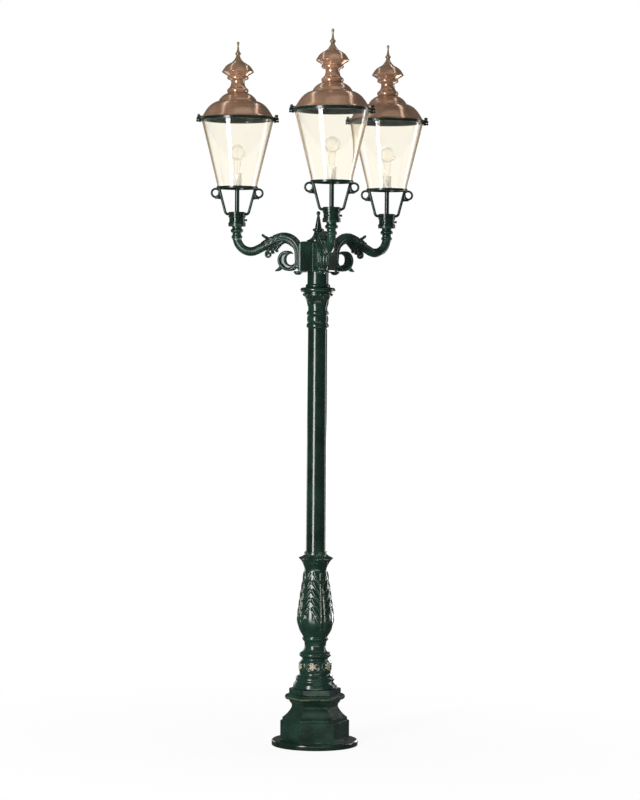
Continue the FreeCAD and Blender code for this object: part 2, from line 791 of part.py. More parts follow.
def service_door():
    """Flush door with a strap, a hinge knuckle and the hole of its lock."""
    outer = PLINTH_HALF_WIDTH
    panel = door_panel(0.0, outer - DOOR_THICKNESS, outer)
    x, y = door_hinge()
    half = KNUCKLE_LENGTH / 2
    strap_face = outer + KNUCKLE_STANDOFF
    strap_low = (x, strap_face, door_centre() - half)
    strap = block(strap_low, (x + STRAP_LENGTH, strap_face + STRAP_THICKNESS, door_centre() + half))
    pad_low = (x + HINGE_OFFSET + DOOR_GAP, outer - KNUCKLE_STANDOFF, door_centre() - half)
    pad = block(pad_low, (x + STRAP_LENGTH, strap_face + KNUCKLE_STANDOFF, door_centre() + half))
    door = joined([panel, strap, pad, upright(KNUCKLE_RADIUS, -half, half)])
    pin_hole = upright(DOOR_PIN_RADIUS + PIN_PLAY, -KNUCKLE_LENGTH, KNUCKLE_LENGTH)
    return without(door, [pin_hole, lock_barrel(LOCK_RADIUS + PIN_PLAY)])


def door_hinge_pin():
    """Pin through the three knuckles of the door."""
    reach = fixed_knuckle_spans()[1][1]
    return upright(DOOR_PIN_RADIUS, -reach, reach)


def lock_axis():
    """Plan x of the lock."""
    return DOOR_WIDTH / 2 - LOCK_INSET


def cam_face():
    """Depth of the cam's outer face, behind the plinth's wall."""
    return PLINTH_HALF_WIDTH - PLINTH_WALL - CAM_GAP


def lock_barrel(radius):
    """Barrel of the lock from the cam to the door's face."""
    start = Vector(lock_axis(), cam_face() - CAM_THICKNESS, door_centre())
    end = Vector(lock_axis(), PLINTH_HALF_WIDTH + BODY_GAP, door_centre())
    return cross_rod(radius, start, end)


def door_lock():
    """Quarter-turn lock, stored open, whose cam swings behind the wall of the plinth."""
    front = PLINTH_HALF_WIDTH + BODY_GAP
    face = Vector(lock_axis(), front + LOCK_HEAD_THICKNESS, door_centre())
    head = cross_rod(LOCK_HEAD_RADIUS, Vector(lock_axis(), front, door_centre()), face)
    cam_low = (lock_axis() - CAM_WIDTH / 2, cam_face() - CAM_THICKNESS, door_centre() - CAM_LENGTH)
    cam = block(cam_low, (lock_axis() + CAM_WIDTH / 2, cam_face(), door_centre()))
    slot_low = (face.x - KEY_SLOT / 2, face.y - LOCK_HEAD_THICKNESS / 2, face.z - LOCK_RADIUS)
    slot = block(slot_low, (face.x + KEY_SLOT / 2, face.y, face.z + LOCK_RADIUS))
    return without(joined([lock_barrel(LOCK_RADIUS), head, cam]), [slot])


def terminal_box():
    """Closed cable box on the ground plate, with its lid seam and two cable glands."""
    low = (-BOX_WIDTH / 2, BOX_OFFSET, PLATE_THICKNESS)
    body = block(low, (BOX_WIDTH / 2, BOX_OFFSET + BOX_DEPTH - BOX_LID, PLATE_THICKNESS + BOX_HEIGHT))
    inset = BOX_EDGE / 2
    lid_low = (low[0] + inset, BOX_OFFSET + BOX_DEPTH - BOX_LID, low[2] + inset)
    lid_high = (BOX_WIDTH / 2 - inset, BOX_OFFSET + BOX_DEPTH, PLATE_THICKNESS + BOX_HEIGHT - inset)
    pieces = [body, block(lid_low, lid_high)]
    for side in (-1, 1):
        x = side * BOX_WIDTH / 4
        top = PLATE_THICKNESS + BOX_HEIGHT
        gland = rod(GLAND_RADIUS, top, top + GLAND_LENGTH)
        pieces.append(shifted(gland, x, BOX_OFFSET + (BOX_DEPTH - BOX_LID) / 2, 0))
    return joined(pieces)


def pedestal():
    """Waist, leafed vase and calyx in one hollow casting."""
    mouldings = WAIST_MOULDINGS + VASE_MOULDINGS + CALYX_MOULDINGS
    body = turned_stack(PEDESTAL_FOOT_RADIUS, PEDESTAL_BASE, mouldings)
    spigot = rod(PEDESTAL_SPIGOT_RADIUS, PEDESTAL_BASE - PLINTH_DECK, PEDESTAL_BASE)
    body = joined([body, spigot] + vase_leaves() + drum_fans())
    bore = rod(PEDESTAL_BORE_RADIUS, PEDESTAL_BASE - PLINTH_DECK, PEDESTAL_TOP)
    socket = shaft_body(SEAT_GAP)
    return without(body, [bore, socket] + petal_notches() + grub_holes(PEDESTAL_TOP - collar_half()))


def collar_half():
    """Half the height of the collar that grips the shaft's foot."""
    return CALYX_MOULDINGS[-1].rise / 2


def vase_leaves():
    """Raised acanthus leaves up the vase, each with a double rib."""
    start = WAIST_MOULDINGS[-1].radius
    reach = 2 * PEDESTAL_FOOT_RADIUS
    blade = radial_prism(leaf_points(LEAF_LENGTH, LEAF_HALF_WIDTH, LEAF_LOBES), VASE_BASE + LEAF_LIFT, reach)
    leaf = blade.common(turned_stack(start, VASE_BASE, VASE_MOULDINGS, LEAF_RELIEF))
    raised = turned_stack(start, VASE_BASE, VASE_MOULDINGS, RIB_RELIEF)
    ribs = []
    for side in (-1, 1):
        foot = side * RIB_SPACING / 2
        rib = [
            (foot - RIB_WIDTH / 2, 0.0),
            (foot + RIB_WIDTH / 2, 0.0),
            (side * RIB_WIDTH / 4 + RIB_WIDTH / 4, LEAF_LENGTH),
            (side * RIB_WIDTH / 4 - RIB_WIDTH / 4, LEAF_LENGTH),
        ]
        ribs.append(radial_prism(rib, VASE_BASE + LEAF_LIFT, reach).common(raised))
    return ring_of(joined([leaf] + ribs), LEAF_COUNT, LEAF_TURN - 90.0)


def drum_fans():
    """Raised fans of petals around the drum of the waist."""
    drum = WAIST_MOULDINGS[5]
    base = PEDESTAL_BASE + rise_of(WAIST_MOULDINGS[:5])
    raised = rod(drum.radius + FAN_RELIEF, base, base + drum.rise)
    half = FAN_PETAL_WIDTH / 2
    petals = []
    for index in range(FAN_PETALS):
        lean = FAN_SPREAD * (index - (FAN_PETALS - 1) / 2)
        length = FAN_HEIGHT * (1.0 - abs(lean) / 360.0)
        petal = profile([
            (0.0, 0.0),
            ((half, 0.6 * length), (0.0, length)),
            ((-half, 0.6 * length), (0.0, 0.0)),
        ])
        petal = outward(petal.extrude(Vector(0, 2 * drum.radius, 0)))
        petal.rotate(AXIS_FOOT, Vector(0, 1, 0), lean)
        petals.append(shifted(petal, 0, 0, base + (drum.rise - FAN_HEIGHT) / 2).common(raised))
    return ring_of(joined(petals), FAN_COUNT, FAN_TURN - 90.0)


def petal_notches():
    """Round notches that part the lip of the calyx into petals."""
    lip_radius = CALYX_MOULDINGS[1].radius
    base = CALYX_BASE + CALYX_MOULDINGS[0].rise - CALYX_MOULDINGS[1].rise
    top = base + 2 * rise_of(CALYX_MOULDINGS[1:3])
    notch = shifted(rod(PETAL_NOTCH, base, top), lip_radius + PETAL_NOTCH - PETAL_NOTCH_DEPTH, 0, 0)
    return ring_of(notch, PETAL_COUNT, LEAF_TURN + 180.0 / PETAL_COUNT)


def grub_reach(level):
    """Outer radius of the shaft at a height."""
    share = (level - PEDESTAL_TOP + SHAFT_SOCKET) / (SHAFT_EXPOSED + SHAFT_SOCKET)
    return SHAFT_FOOT_RADIUS + (SHAFT_HEAD_RADIUS - SHAFT_FOOT_RADIUS) * share


def grub_holes(level):
    """Holes for the screws through the calyx collar."""
    far = 2 * PEDESTAL_SPIGOT_RADIUS
    hole = cross_rod(GRUB_RADIUS + SEAT_GAP, Vector(0, 0, level), Vector(far, 0, level))
    return [spun(hole, angle) for angle in GRUB_ANGLES]


def grub_screws():
    """Screws that pin the shaft in the pedestal."""
    level = PEDESTAL_TOP - collar_half()
    start = grub_reach(level) + SEAT_GAP
    end = CALYX_MOULDINGS[-1].radius + GRUB_HEAD
    screw = cross_rod(GRUB_RADIUS, Vector(start, 0, level), Vector(end, 0, level))
    return Part.makeCompound([spun(screw, angle) for angle in GRUB_ANGLES])


def shaft_body(grow):
    """Tapered outside of the shaft, grown all round."""
    base = PEDESTAL_TOP - SHAFT_SOCKET
    return turned([
        (0.0, base),
        (SHAFT_FOOT_RADIUS + grow, base),
        (SHAFT_HEAD_RADIUS + grow, SHAFT_TOP),
        (0.0, SHAFT_TOP),
    ])


def shaft():
    """Tapered tube between the pedestal's socket and the capital."""
    return shaft_body(0.0).cut(rod(SHAFT_BORE_RADIUS, PEDESTAL_TOP - SHAFT_SOCKET, SHAFT_TOP))


def capital():
    """Ringed capital with a leafed bell and an egg-beaded rim, on a spigot in the shaft."""
    body = turned_stack(CAPITAL_FOOT_RADIUS, SHAFT_TOP, CAPITAL_MOULDINGS)
    spigot = rod(SHAFT_BORE_RADIUS - SEAT_GAP, SHAFT_TOP - CAPITAL_SPIGOT_LENGTH, SHAFT_TOP)
    lip_radius = CAPITAL_MOULDINGS[6].radius
    egg = Part.makeSphere(EGG_RADIUS, Vector(lip_radius - EGG_RADIUS / 3, 0, SHAFT_TOP + EGG_LIFT))
    body = joined([body, spigot] + ring_of(egg, EGG_COUNT) + bell_leaves())
    return body.cut(rod(CAPITAL_BORE_RADIUS, SHAFT_TOP - CAPITAL_SPIGOT_LENGTH, CAPITAL_TOP))


def bell_leaves():
    """Small raised leaves around the bell of the capital."""
    bell = CAPITAL_MOULDINGS[3:6]
    base = SHAFT_TOP + rise_of(CAPITAL_MOULDINGS[:3])
    raised = turned_stack(CAPITAL_MOULDINGS[2].radius, base, bell, BELL_LEAF_RELIEF)
    points = leaf_points(BELL_LEAF_LENGTH, BELL_LEAF_HALF_WIDTH, BELL_LEAF_LOBES)
    blade = radial_prism(points, SHAFT_TOP + BELL_LEAF_LIFT, PEDESTAL_FOOT_RADIUS)
    return ring_of(blade.common(raised), BELL_LEAF_COUNT, LEAF_TURN - 90.0)


def hub():
    """Hexagonal block that takes the three arm plates, on a round neck and a spigot."""
    block_points = [
        (0.0, HUB_BASE),
        (HUB_HALF_WIDTH - HUB_EDGE, HUB_BASE),
        (HUB_HALF_WIDTH, HUB_BASE + HUB_EDGE),
        (HUB_HALF_WIDTH, HUB_TOP - HUB_EDGE),
        (HUB_HALF_WIDTH - HUB_EDGE, HUB_TOP),
        (0.0, HUB_TOP),
    ]
    body = spun(hexagonal(block_points), BRACKET_TURN)
    neck = rod(HUB_NECK_RADIUS, CAPITAL_TOP, HUB_BASE)
    spigot = rod(CAPITAL_BORE_RADIUS - SEAT_GAP, CAPITAL_TOP - HUB_SPIGOT_LENGTH, CAPITAL_TOP)
    body = joined([body, neck, spigot])
    cutters = [
        rod(HUB_BORE_RADIUS, CAPITAL_TOP - HUB_SPIGOT_LENGTH, HUB_BASE + HUB_WALL),
        rod(HUB_HALF_WIDTH - HUB_WALL - BOLT_LENGTH / 2, HUB_BASE + HUB_WALL, HUB_TOP - HUB_WALL),
        rod(FINIAL_STUD_RADIUS + SEAT_GAP, HUB_TOP - HUB_WALL, HUB_TOP),
    ]
    level = HUB_BASE + CABLE_DOOR_LIFT
    cable = cross_rod(ARM_BORE_RADIUS, Vector(0, 0, level), Vector(2 * HUB_HALF_WIDTH, 0, level))
    hole_length = BOLT_LENGTH - ARM_PLATE_THICKNESS + SEAT_GAP
    for angle in arm_angles():
        cutters.append(spun(cable, angle))
        for y, z in bolt_places():
            start = Vector(HUB_HALF_WIDTH - hole_length, y, z)
            hole = cross_rod(BOLT_RADIUS + SEAT_GAP, start, Vector(2 * HUB_HALF_WIDTH, y, z))
            cutters.append(spun(hole, angle))
    return without(body, cutters)


def hub_finial():
    """Turned spike that closes the hub, with a stud in the hub's roof."""
    body = turned_stack(FINIAL_FOOT_RADIUS, HUB_TOP, FINIAL_MOULDINGS)
    return joined([body, rod(FINIAL_STUD_RADIUS, HUB_TOP - HUB_WALL, HUB_TOP)])


# Arms, built along +X and turned to their places


def arm_angles():
    """Directions of the three arms."""
    return [BRACKET_TURN - 90.0 + 120.0 * index for index in range(len(ARM_NAMES))]


def bolt_places():
    """Sideways place and height of the four bolts of an arm plate."""
    middle = HUB_BASE + (ARM_PLATE_RISE - ARM_PLATE_DROP) / 2
    return [(y, middle + rise) for y in (-BOLT_SIDE, BOLT_SIDE) for rise in (-BOLT_RISE, BOLT_RISE)]


def arm_root():
    """Distance of the arm's upright tube from the post's axis."""
    return HUB_HALF_WIDTH + ARM_PLATE_THICKNESS + ARM_ROOT_OFFSET


def hump_centre():
    """Centre of the arm's hump."""
    return (arm_root() + HUMP_RADIUS, HUB_BASE + HUMP_LIFT)


def bend_centre():
    """Centre of the arm's last bend, under the lantern."""
    return (ARM_REACH - BEND_RADIUS, HUB_BASE + BEND_LIFT)


def tangent_angle():
    """Angle at which the straight run leaves the hump and meets the bend."""
    start = hump_centre()
    end = bend_centre()
    slope = math.degrees(math.atan2(end[1] - start[1], end[0] - start[0]))
    return slope + math.degrees(math.acos((HUMP_RADIUS + BEND_RADIUS) / math.dist(start, end)))


def hump_point(angle):
    """Point of the arm's centre line on the hump."""
    return moved(hump_centre(), angle, HUMP_RADIUS)


def arm_path(start_level):
    """Centre line of the arm from a height of its upright run to the lantern's socket."""
    leave = tangent_angle()
    meet = leave + 180.0
    middle = moved(bend_centre(), (meet + 360.0) / 2, BEND_RADIUS)
    bend_end = (ARM_REACH, bend_centre()[1])
    return outline_edges([
        (arm_root(), start_level),
        (arm_root(), hump_centre()[1]),
        (hump_point((180.0 + leave) / 2), hump_point(leave)),
        moved(bend_centre(), meet, BEND_RADIUS),
        (middle, bend_end),
        (ARM_REACH, LANTERN_SEAT + SPIGOT_HEIGHT),
    ])


def arm():
    """One arm casting: plate, cable tube, scroll, leaves and lantern socket."""
    pieces = [arm_plate(), arm_tube(), arm_scroll(), arm_sheath(), arm_droop(), arm_flick(), arm_socket()]
    body = joined(pieces)
    level = HUB_BASE + CABLE_DOOR_LIFT
    entry = cross_rod(ARM_BORE_RADIUS - ENTRY_STEP, Vector(0, 0, level), Vector(arm_root(), 0, level))
    cutters = [sweep(arm_path(level - ARM_BORE_RADIUS), ARM_BORE_RADIUS), entry]
    for y, z in bolt_places():
        far = Vector(arm_root(), y, z)
        cutters.append(cross_rod(BOLT_RADIUS + SEAT_GAP, Vector(HUB_HALF_WIDTH - SEAT_GAP, y, z), far))
    return without(body, cutters)


def arm_plate():
    """Back plate against the hub, with a round pendant under its foot."""
    low = (HUB_HALF_WIDTH, -ARM_PLATE_WIDTH / 2, HUB_BASE - ARM_PLATE_DROP)
    high = (HUB_HALF_WIDTH + ARM_PLATE_THICKNESS, ARM_PLATE_WIDTH / 2, HUB_BASE + ARM_PLATE_RISE)
    plate = block(low, high)
    corners = [edge for edge in plate.Edges if abs(edge.tangentAt(edge.FirstParameter).x) > 0.9]
    plate = plate.makeFillet(ARM_PLATE_CORNER, corners)
    bulge = PENDANT_RADIUS * math.sqrt(0.5)
    pendant = turned([
        (0.0, -PENDANT_HEIGHT),
        ((bulge, -0.7 * PENDANT_HEIGHT), (PENDANT_RADIUS, 0.0)),
        (PENDANT_RADIUS, PENDANT_HEIGHT / 2),
        (0.0, PENDANT_HEIGHT / 2),
    ])
    reach = arm_root() - ARM_TUBE_RADIUS + PENDANT_RADIUS
    return plate.fuse(shifted(pendant, reach, 0, HUB_BASE - ARM_PLATE_DROP))


def arm_tube():
    """Round bar of the arm with a rounded foot on the plate."""
    foot = HUB_BASE + ARM_FOOT_LIFT
    ball = Part.makeSphere(ARM_TUBE_RADIUS, Vector(arm_root(), 0, foot))
    return sweep(arm_path(foot), ARM_TUBE_RADIUS).fuse(ball)


def scroll_centre():
    """Centre of the round scroll under the hump."""
    return (arm_root() + SCROLL_OFFSET, HUB_BASE + SCROLL_LIFT)


def arm_scroll():
    """C-shaped scroll with a round eye and a pointed leaf tail."""
    centre = scroll_centre()
    start = moved(centre, SCROLL_START, SCROLL_RADIUS)
    middle = moved(centre, SCROLL_START + SCROLL_SWEEP / 2, SCROLL_RADIUS)
    end = moved(centre, SCROLL_START + SCROLL_SWEEP, SCROLL_RADIUS)
    curl = sweep(outline_edges([start, (middle, end)]), SCROLL_TUBE_RADIUS)
    eye = Part.makeSphere(SCROLL_EYE_RADIUS, at(end))
    heel = Part.makeSphere(SCROLL_HEEL_RADIUS, at(start))
    tail_foot = moved(centre, TAIL_ANGLE, SCROLL_RADIUS)
    tail = horn(tail_foot, TAIL_ANGLE, TAIL_LENGTH - SCROLL_TUBE_RADIUS, TAIL_RADIUS, TAIL_TIP_RADIUS)
    return joined([curl, eye, heel, tail])


def arm_sheath():
    """Leaf sheath that clasps the top of the hump, with lobes along its lower edge."""
    leave = tangent_angle()
    foot = hump_point(leave)
    tip = moved(foot, leave - 90.0, SHEATH_REACH)
    middle = hump_point((SHEATH_START + leave) / 2)
    bar = sweep(outline_edges([hump_point(SHEATH_START), (middle, foot), tip]), SHEATH_RADIUS)
    centre = hump_centre()
    above = HUMP_RADIUS + 2 * SHEATH_RADIUS
    lower = []
    step = (SHEATH_START - leave) / SHEATH_LOBES
    for lobe in range(SHEATH_LOBES):
        here = SHEATH_START - step * lobe
        via = moved(centre, here - 0.55 * step, HUMP_RADIUS - SHEATH_LOBE_DEPTH)
        lower.append((via, moved(centre, here - step, HUMP_RADIUS)))
    side = [moved(centre, SHEATH_START, HUMP_RADIUS)] + lower
    side.append(moved(tip, leave, SHEATH_RADIUS / 2))
    side.append(moved(tip, leave, 2 * SHEATH_RADIUS))
    side.append(moved(centre, leave, above))
    side.append((moved(centre, (SHEATH_START + leave) / 2, above), moved(centre, SHEATH_START, above)))
    prism = outward(profile(side).extrude(Vector(0, 4 * SHEATH_RADIUS, 0)))
    return bar.common(shifted(prism, 0, -2 * SHEATH_RADIUS, 0))


def arm_droop():
    """Lobed leaf that hangs under the far side of the hump."""
    points = leaf_points(DROOP_LENGTH, DROOP_HALF_WIDTH, DROOP_LOBES)
    leaf = outward(profile(points).extrude(Vector(0, DROOP_THICKNESS, 0)))
    leaf.translate(Vector(0, -DROOP_THICKNESS / 2, 0))
    leaf.rotate(AXIS_FOOT, Vector(0, 1, 0), 90.0 - DROOP_ANGLE)
    foot = moved(hump_point(tangent_angle()), tangent_angle() + 90.0, DROOP_BACK)
    return shifted(leaf, foot[0], 0, foot[1])


def arm_flick():
    """Small curled tip that stands up where the sheath ends."""
    leave = tangent_angle()
    foot = moved(hump_point(leave), leave - 90.0, SHEATH_REACH - FLICK_RADIUS)
    foot = moved(foot, leave, ARM_TUBE_RADIUS - FLICK_RADIUS)
    return horn(foot, FLICK_ANGLE, FLICK_LENGTH, FLICK_RADIUS, FLICK_TIP_RADIUS)


def arm_socket():
    """Turned socket at the arm's end, with the spigot that the lantern drops over."""
    body = turned_stack(ARM_TUBE_RADIUS, SOCKET_BASE, SOCKET_MOULDINGS)
    spigot = rod(SPIGOT_RADIUS, LANTERN_SEAT, LANTERN_SEAT + SPIGOT_HEIGHT)
    return shifted(body.fuse(spigot), ARM_REACH, 0, 0)


def arm_bolts():
    """Bolts that hold the arm plates on the hub."""
    seat = HUB_HALF_WIDTH + ARM_PLATE_THICKNESS
    bolts = []
    for angle in arm_angles():
        for y, z in bolt_places():
            shank = cross_rod(BOLT_RADIUS, Vector(seat - BOLT_LENGTH, y, z), Vector(seat, y, z))
            head = cross_rod(BOLT_HEAD_RADIUS, Vector(seat, y, z), Vector(seat + BOLT_HEAD_HEIGHT, y, z))
            bolts.append(spun(joined([shank, head]), angle))
    return Part.makeCompound(bolts)


# Lantern pieces, on the Z axis with heights counted from the lantern's seat


def cradle():
    """Sleeve, two bars, loops and bottom ring in one casting."""
    sleeve = turned_stack(SLEEVE_RADIUS, 0.0, SLEEVE_MOULDINGS)
    pieces = [sleeve, cradle_ring()] + cradle_side() + [spun(piece, 180) for piece in cradle_side()]
    cutters = [
        rod(SPIGOT_RADIUS + SEAT_GAP, 0.0, SPIGOT_HEIGHT),
        rod(CONDUIT_RADIUS + SEAT_GAP, 0.0, SLEEVE_TOP),
    ]
    hole = cross_rod(
        SLEEVE_SCREW_RADIUS + SEAT_GAP,
        Vector(0, 0, SLEEVE_SCREW_LIFT),
        Vector(2 * SLEEVE_RADIUS, 0, SLEEVE_SCREW_LIFT),
    )
    cutters += [spun(hole, angle) for angle in SLEEVE_SCREW_ANGLES]
    notch_low = (SLEEVE_RADIUS - SLEEVE_NOTCH_INSET, -SLEEVE_NOTCH_WIDTH / 2, SLEEVE_TOP - SLEEVE_NOTCH_DEPTH)
    notch = block(notch_low, (2 * SLEEVE_RADIUS, SLEEVE_NOTCH_WIDTH / 2, SLEEVE_TOP))
    sleeve_cut = ring_of(notch, SLEEVE_TABS, 180.0 / SLEEVE_TABS)
    pieces[0] = without(sleeve, sleeve_cut)
    return without(joined(pieces), cutters)


def cradle_ring():
    """Bottom ring with a lip that keeps the glass in place."""
    outer = CRADLE_RING_OUTER
    inner = outer - CRADLE_RING_WIDTH
    soft = CRADLE_RING_ROUND * (1 - math.sqrt(0.5))
    return turned([
        (inner, CRADLE_RING_LIFT),
        (outer - CRADLE_RING_ROUND, CRADLE_RING_LIFT),
        ((outer - soft, CRADLE_RING_LIFT + soft), (outer, CRADLE_RING_LIFT + CRADLE_RING_ROUND)),
        (outer, CRADLE_RING_TOP + CRADLE_LIP_HEIGHT),
        (CRADLE_LIP_RADIUS, CRADLE_RING_TOP + CRADLE_LIP_HEIGHT),
        (CRADLE_LIP_RADIUS, CRADLE_RING_TOP),
        (inner, CRADLE_RING_TOP),
    ])


def cradle_side():
    """Bar, ornamental loop and knuckle on the right of the cradle."""
    elbow = (BAR_ELBOW_REACH, BAR_ELBOW_LIFT)
    end = (BAR_TOP_REACH, CRADLE_RING_LIFT + CRADLE_RING_THICKNESS / 2)
    start = (BAR_ROOT, BAR_ELBOW_LIFT)
    climb_angle = math.degrees(math.atan2(end[1] - elbow[1], end[0] - elbow[0]))
    setback = BAR_ELBOW_RADIUS * math.tan(math.radians(climb_angle / 2))
    first = moved(elbow, 180.0, setback)
    last = moved(elbow, climb_angle, setback)
    centre = moved(first, 90.0, BAR_ELBOW_RADIUS)
    middle = moved(centre, -90.0 + climb_angle / 2, BAR_ELBOW_RADIUS)
    bar = sweep(outline_edges([start, first, (middle, last), end]), BAR_RADIUS)
    loop_radius = LOOP_HOLE_RADIUS + LOOP_WIRE_RADIUS
    loop_centre = (LOOP_REACH, CRADLE_RING_LIFT - loop_radius)
    sideways = Vector(0, 1, 0)
    loop = Part.makeTorus(loop_radius, LOOP_WIRE_RADIUS, at(loop_centre), sideways)
    knuckle_centre = moved(loop_centre, LOOP_KNUCKLE_ANGLE, loop_radius)
    knuckle = Part.makeSphere(LOOP_KNUCKLE_RADIUS, at(knuckle_centre), sideways)
    return [bar, loop, knuckle]


def sleeve_screws():
    """Set screws that clamp one sleeve on its spigot."""
    seat = SPIGOT_RADIUS + SEAT_GAP
    head = SLEEVE_RADIUS
    z = SLEEVE_SCREW_LIFT
    shank = cross_rod(SLEEVE_SCREW_RADIUS, Vector(seat, 0, z), Vector(head, 0, z))
    cap = cross_rod(SLEEVE_SCREW_HEAD_RADIUS, Vector(head, 0, z), Vector(head + SLEEVE_SCREW_STANDOFF, 0, z))
    screw = joined([shank, cap])
    return [spun(screw, angle) for angle in SLEEVE_SCREW_ANGLES]


def conduit():
    """Tube that brings the cable from the arm's spigot up to the lamp holder."""
    return tube(CONDUIT_RADIUS, CONDUIT_RADIUS - CONDUIT_WALL, SPIGOT_HEIGHT, TRAY_TOP + CONDUIT_STANDUP)


def lamp_tray():
    """Round plate on the bottom ring that carries the lamp holder."""
    outer = CRADLE_RING_OUTER - CRADLE_RING_WIDTH + TRAY_OVERLAP
    return tube(outer, CONDUIT_RADIUS + SEAT_GAP, CRADLE_RING_TOP, TRAY_TOP)


def holder_top():
    """Height of the lamp holder's rim."""
    return TRAY_TOP + rise_of(HOLDER_MOULDINGS)


def lamp_holder():
    """Screw lamp holder on the tray, over the end of the conduit."""
    body = turned_stack(HOLDER_FOOT_RADIUS, TRAY_TOP, HOLDER_MOULDINGS)
    return without(body, [
        rod(CONDUIT_RADIUS + SEAT_GAP, TRAY_TOP, TRAY_TOP + CONDUIT_STANDUP),
        rod(CAP_RADIUS + SEAT_GAP, holder_top() - HOLDER_SOCKET_DEPTH, holder_top()),
    ])


def bulb():
    """Globe lamp with its screw cap in the holder."""
    foot = holder_top() - HOLDER_SOCKET_DEPTH
    centre = (0.0, holder_top() + BULB_CENTRE_LIFT)
    waist = moved(centre, BULB_WAIST_ANGLE, BULB_RADIUS)
    neck = (BULB_NECK_RADIUS, holder_top() + SEAT_GAP)
    throat = (BULB_NECK_RADIUS + (waist[0] - neck[0]) / 4, (neck[1] + waist[1]) / 2)
    return turned([
        (0.0, foot),
        (CAP_RADIUS, foot),
        (CAP_RADIUS, neck[1]),
        neck,
        (throat, waist),
        (moved(centre, 0.0, BULB_RADIUS), (0.0, centre[1] + BULB_RADIUS)),
    ])


def shade():
    """Blown glass shade, open at both ends."""
    turn = SHADE_FOOT + SHADE_TURN_HEIGHT
    spread = SHADE_TURN_RADIUS - SHADE_FOOT_RADIUS
    foot_middle = (SHADE_FOOT_RADIUS + spread / 3, SHADE_FOOT + SHADE_TURN_HEIGHT / 2)
    inner_middle = (foot_middle[0] - GLASS_WALL, foot_middle[1])
    return turned([
        (SHADE_FOOT_RADIUS - GLASS_WALL, SHADE_FOOT),
        (SHADE_FOOT_RADIUS, SHADE_FOOT),
        (foot_middle, (SHADE_TURN_RADIUS, turn)),
        (SHADE_TOP_RADIUS, SHADE_TOP),
        (SHADE_TOP_RADIUS - GLASS_WALL, SHADE_TOP),
        (SHADE_TURN_RADIUS - GLASS_WALL, turn),
        (inner_middle, (SHADE_FOOT_RADIUS - GLASS_WALL, SHADE_FOOT)),
    ])


def shade_seal():
    """Soft ring between the cradle and the foot of the glass."""
    inner = SHADE_FOOT_RADIUS - GLASS_WALL - BODY_GAP
    return tube(SHADE_FOOT_RADIUS + BODY_GAP, inner, CRADLE_RING_TOP, SHADE_FOOT)


def crown_ring():
    """Ring on top of the glass, with the hinge ears, the catch ear and two screw bosses."""
    skirt = SHADE_TOP_RADIUS + BODY_GAP
    flange_inner = skirt - RING_FLANGE_WIDTH
    upstand_inner = RING_OUTER - RING_UPSTAND
    soft = RING_ROUND * (1 - math.sqrt(0.5))
    flange_top = SHADE_TOP + RING_FLANGE_THICKNESS
    ring = turned([
        (flange_inner, SHADE_TOP),
        (skirt, SHADE_TOP),
        (skirt, RING_FOOT),
        (RING_OUTER - RING_ROUND, RING_FOOT),
        ((RING_OUTER - soft, RING_FOOT + soft), (RING_OUTER, RING_FOOT + RING_ROUND)),
        (RING_OUTER, RING_TOP - RING_ROUND),
        ((RING_OUTER - soft, RING_TOP - soft), (RING_OUTER - RING_ROUND, RING_TOP)),
        (upstand_inner, RING_TOP),
        (upstand_inner, flange_top),
        (flange_inner, flange_top),
    ])
    inside = RING_OUTER - RING_WALL / 2
    ear_low = RING_TOP - EAR_HEIGHT
    catch_ear = block((inside, -EAR_HALF_WIDTH, ear_low), (RING_OUTER + EAR_REACH, EAR_HALF_WIDTH, RING_TOP))
    half = HINGE_EYE_HALF_LENGTH + BODY_GAP + HINGE_CHEEK_WIDTH
    hinge_ear = block((-RING_OUTER - EAR_REACH, -half, ear_low), (-inside, half, RING_TOP))
    body = joined([ring, catch_ear, hinge_ear] + hinge_cheeks() + screw_bosses())
    cutters = [
        hinge_pin_rod(HINGE_PIN_RADIUS + PIN_PLAY),
        shifted(rod(CATCH_SHANK_RADIUS + CATCH_HOLE_PLAY, ear_low, RING_TOP), CATCH_X, 0, 0),
    ]
    return without(body, cutters + [screw_hole(side) for side in (-1, 1)])


def hinge_cheeks():
    """Two rounded cheeks that hold the hinge pin."""
    cheeks = []
    for side in (-1, 1):
        near = side * (HINGE_EYE_HALF_LENGTH + BODY_GAP)
        far = near + side * HINGE_CHEEK_WIDTH
        ends = (Vector(HINGE_X, near, HINGE_Z), Vector(HINGE_X, far, HINGE_Z))
        cheeks.append(cross_rod(HINGE_CHEEK_RADIUS, *ends))
        low = (HINGE_X - HINGE_CHEEK_RADIUS, min(near, far), RING_TOP - RING_ROUND)
        cheeks.append(block(low, (HINGE_X + HINGE_CHEEK_RADIUS, max(near, far), HINGE_Z)))
    return cheeks


def screw_level():
    """Height of the screws that steady the glass."""
    return RING_FOOT - GLASS_SCREW_DROP


def screw_bosses():
    """Bosses for the glass screws, in line with the ears."""
    bosses = []
    start = SHADE_TOP_RADIUS + 2 * BODY_GAP
    for side in (-1, 1):
        near = Vector(side * start, 0, screw_level())
        far = Vector(side * (RING_OUTER + GLASS_SCREW_BOSS_LENGTH), 0, screw_level())
        bosses.append(cross_rod(GLASS_SCREW_BOSS_RADIUS, near, far))
    return bosses


def screw_hole(side):
    """Hole of one glass screw."""
    near = Vector(side * SHADE_TOP_RADIUS / 2, 0, screw_level())
    return cross_rod(GLASS_SCREW_RADIUS + SEAT_GAP, near, Vector(side * 2 * RING_OUTER, 0, screw_level()))


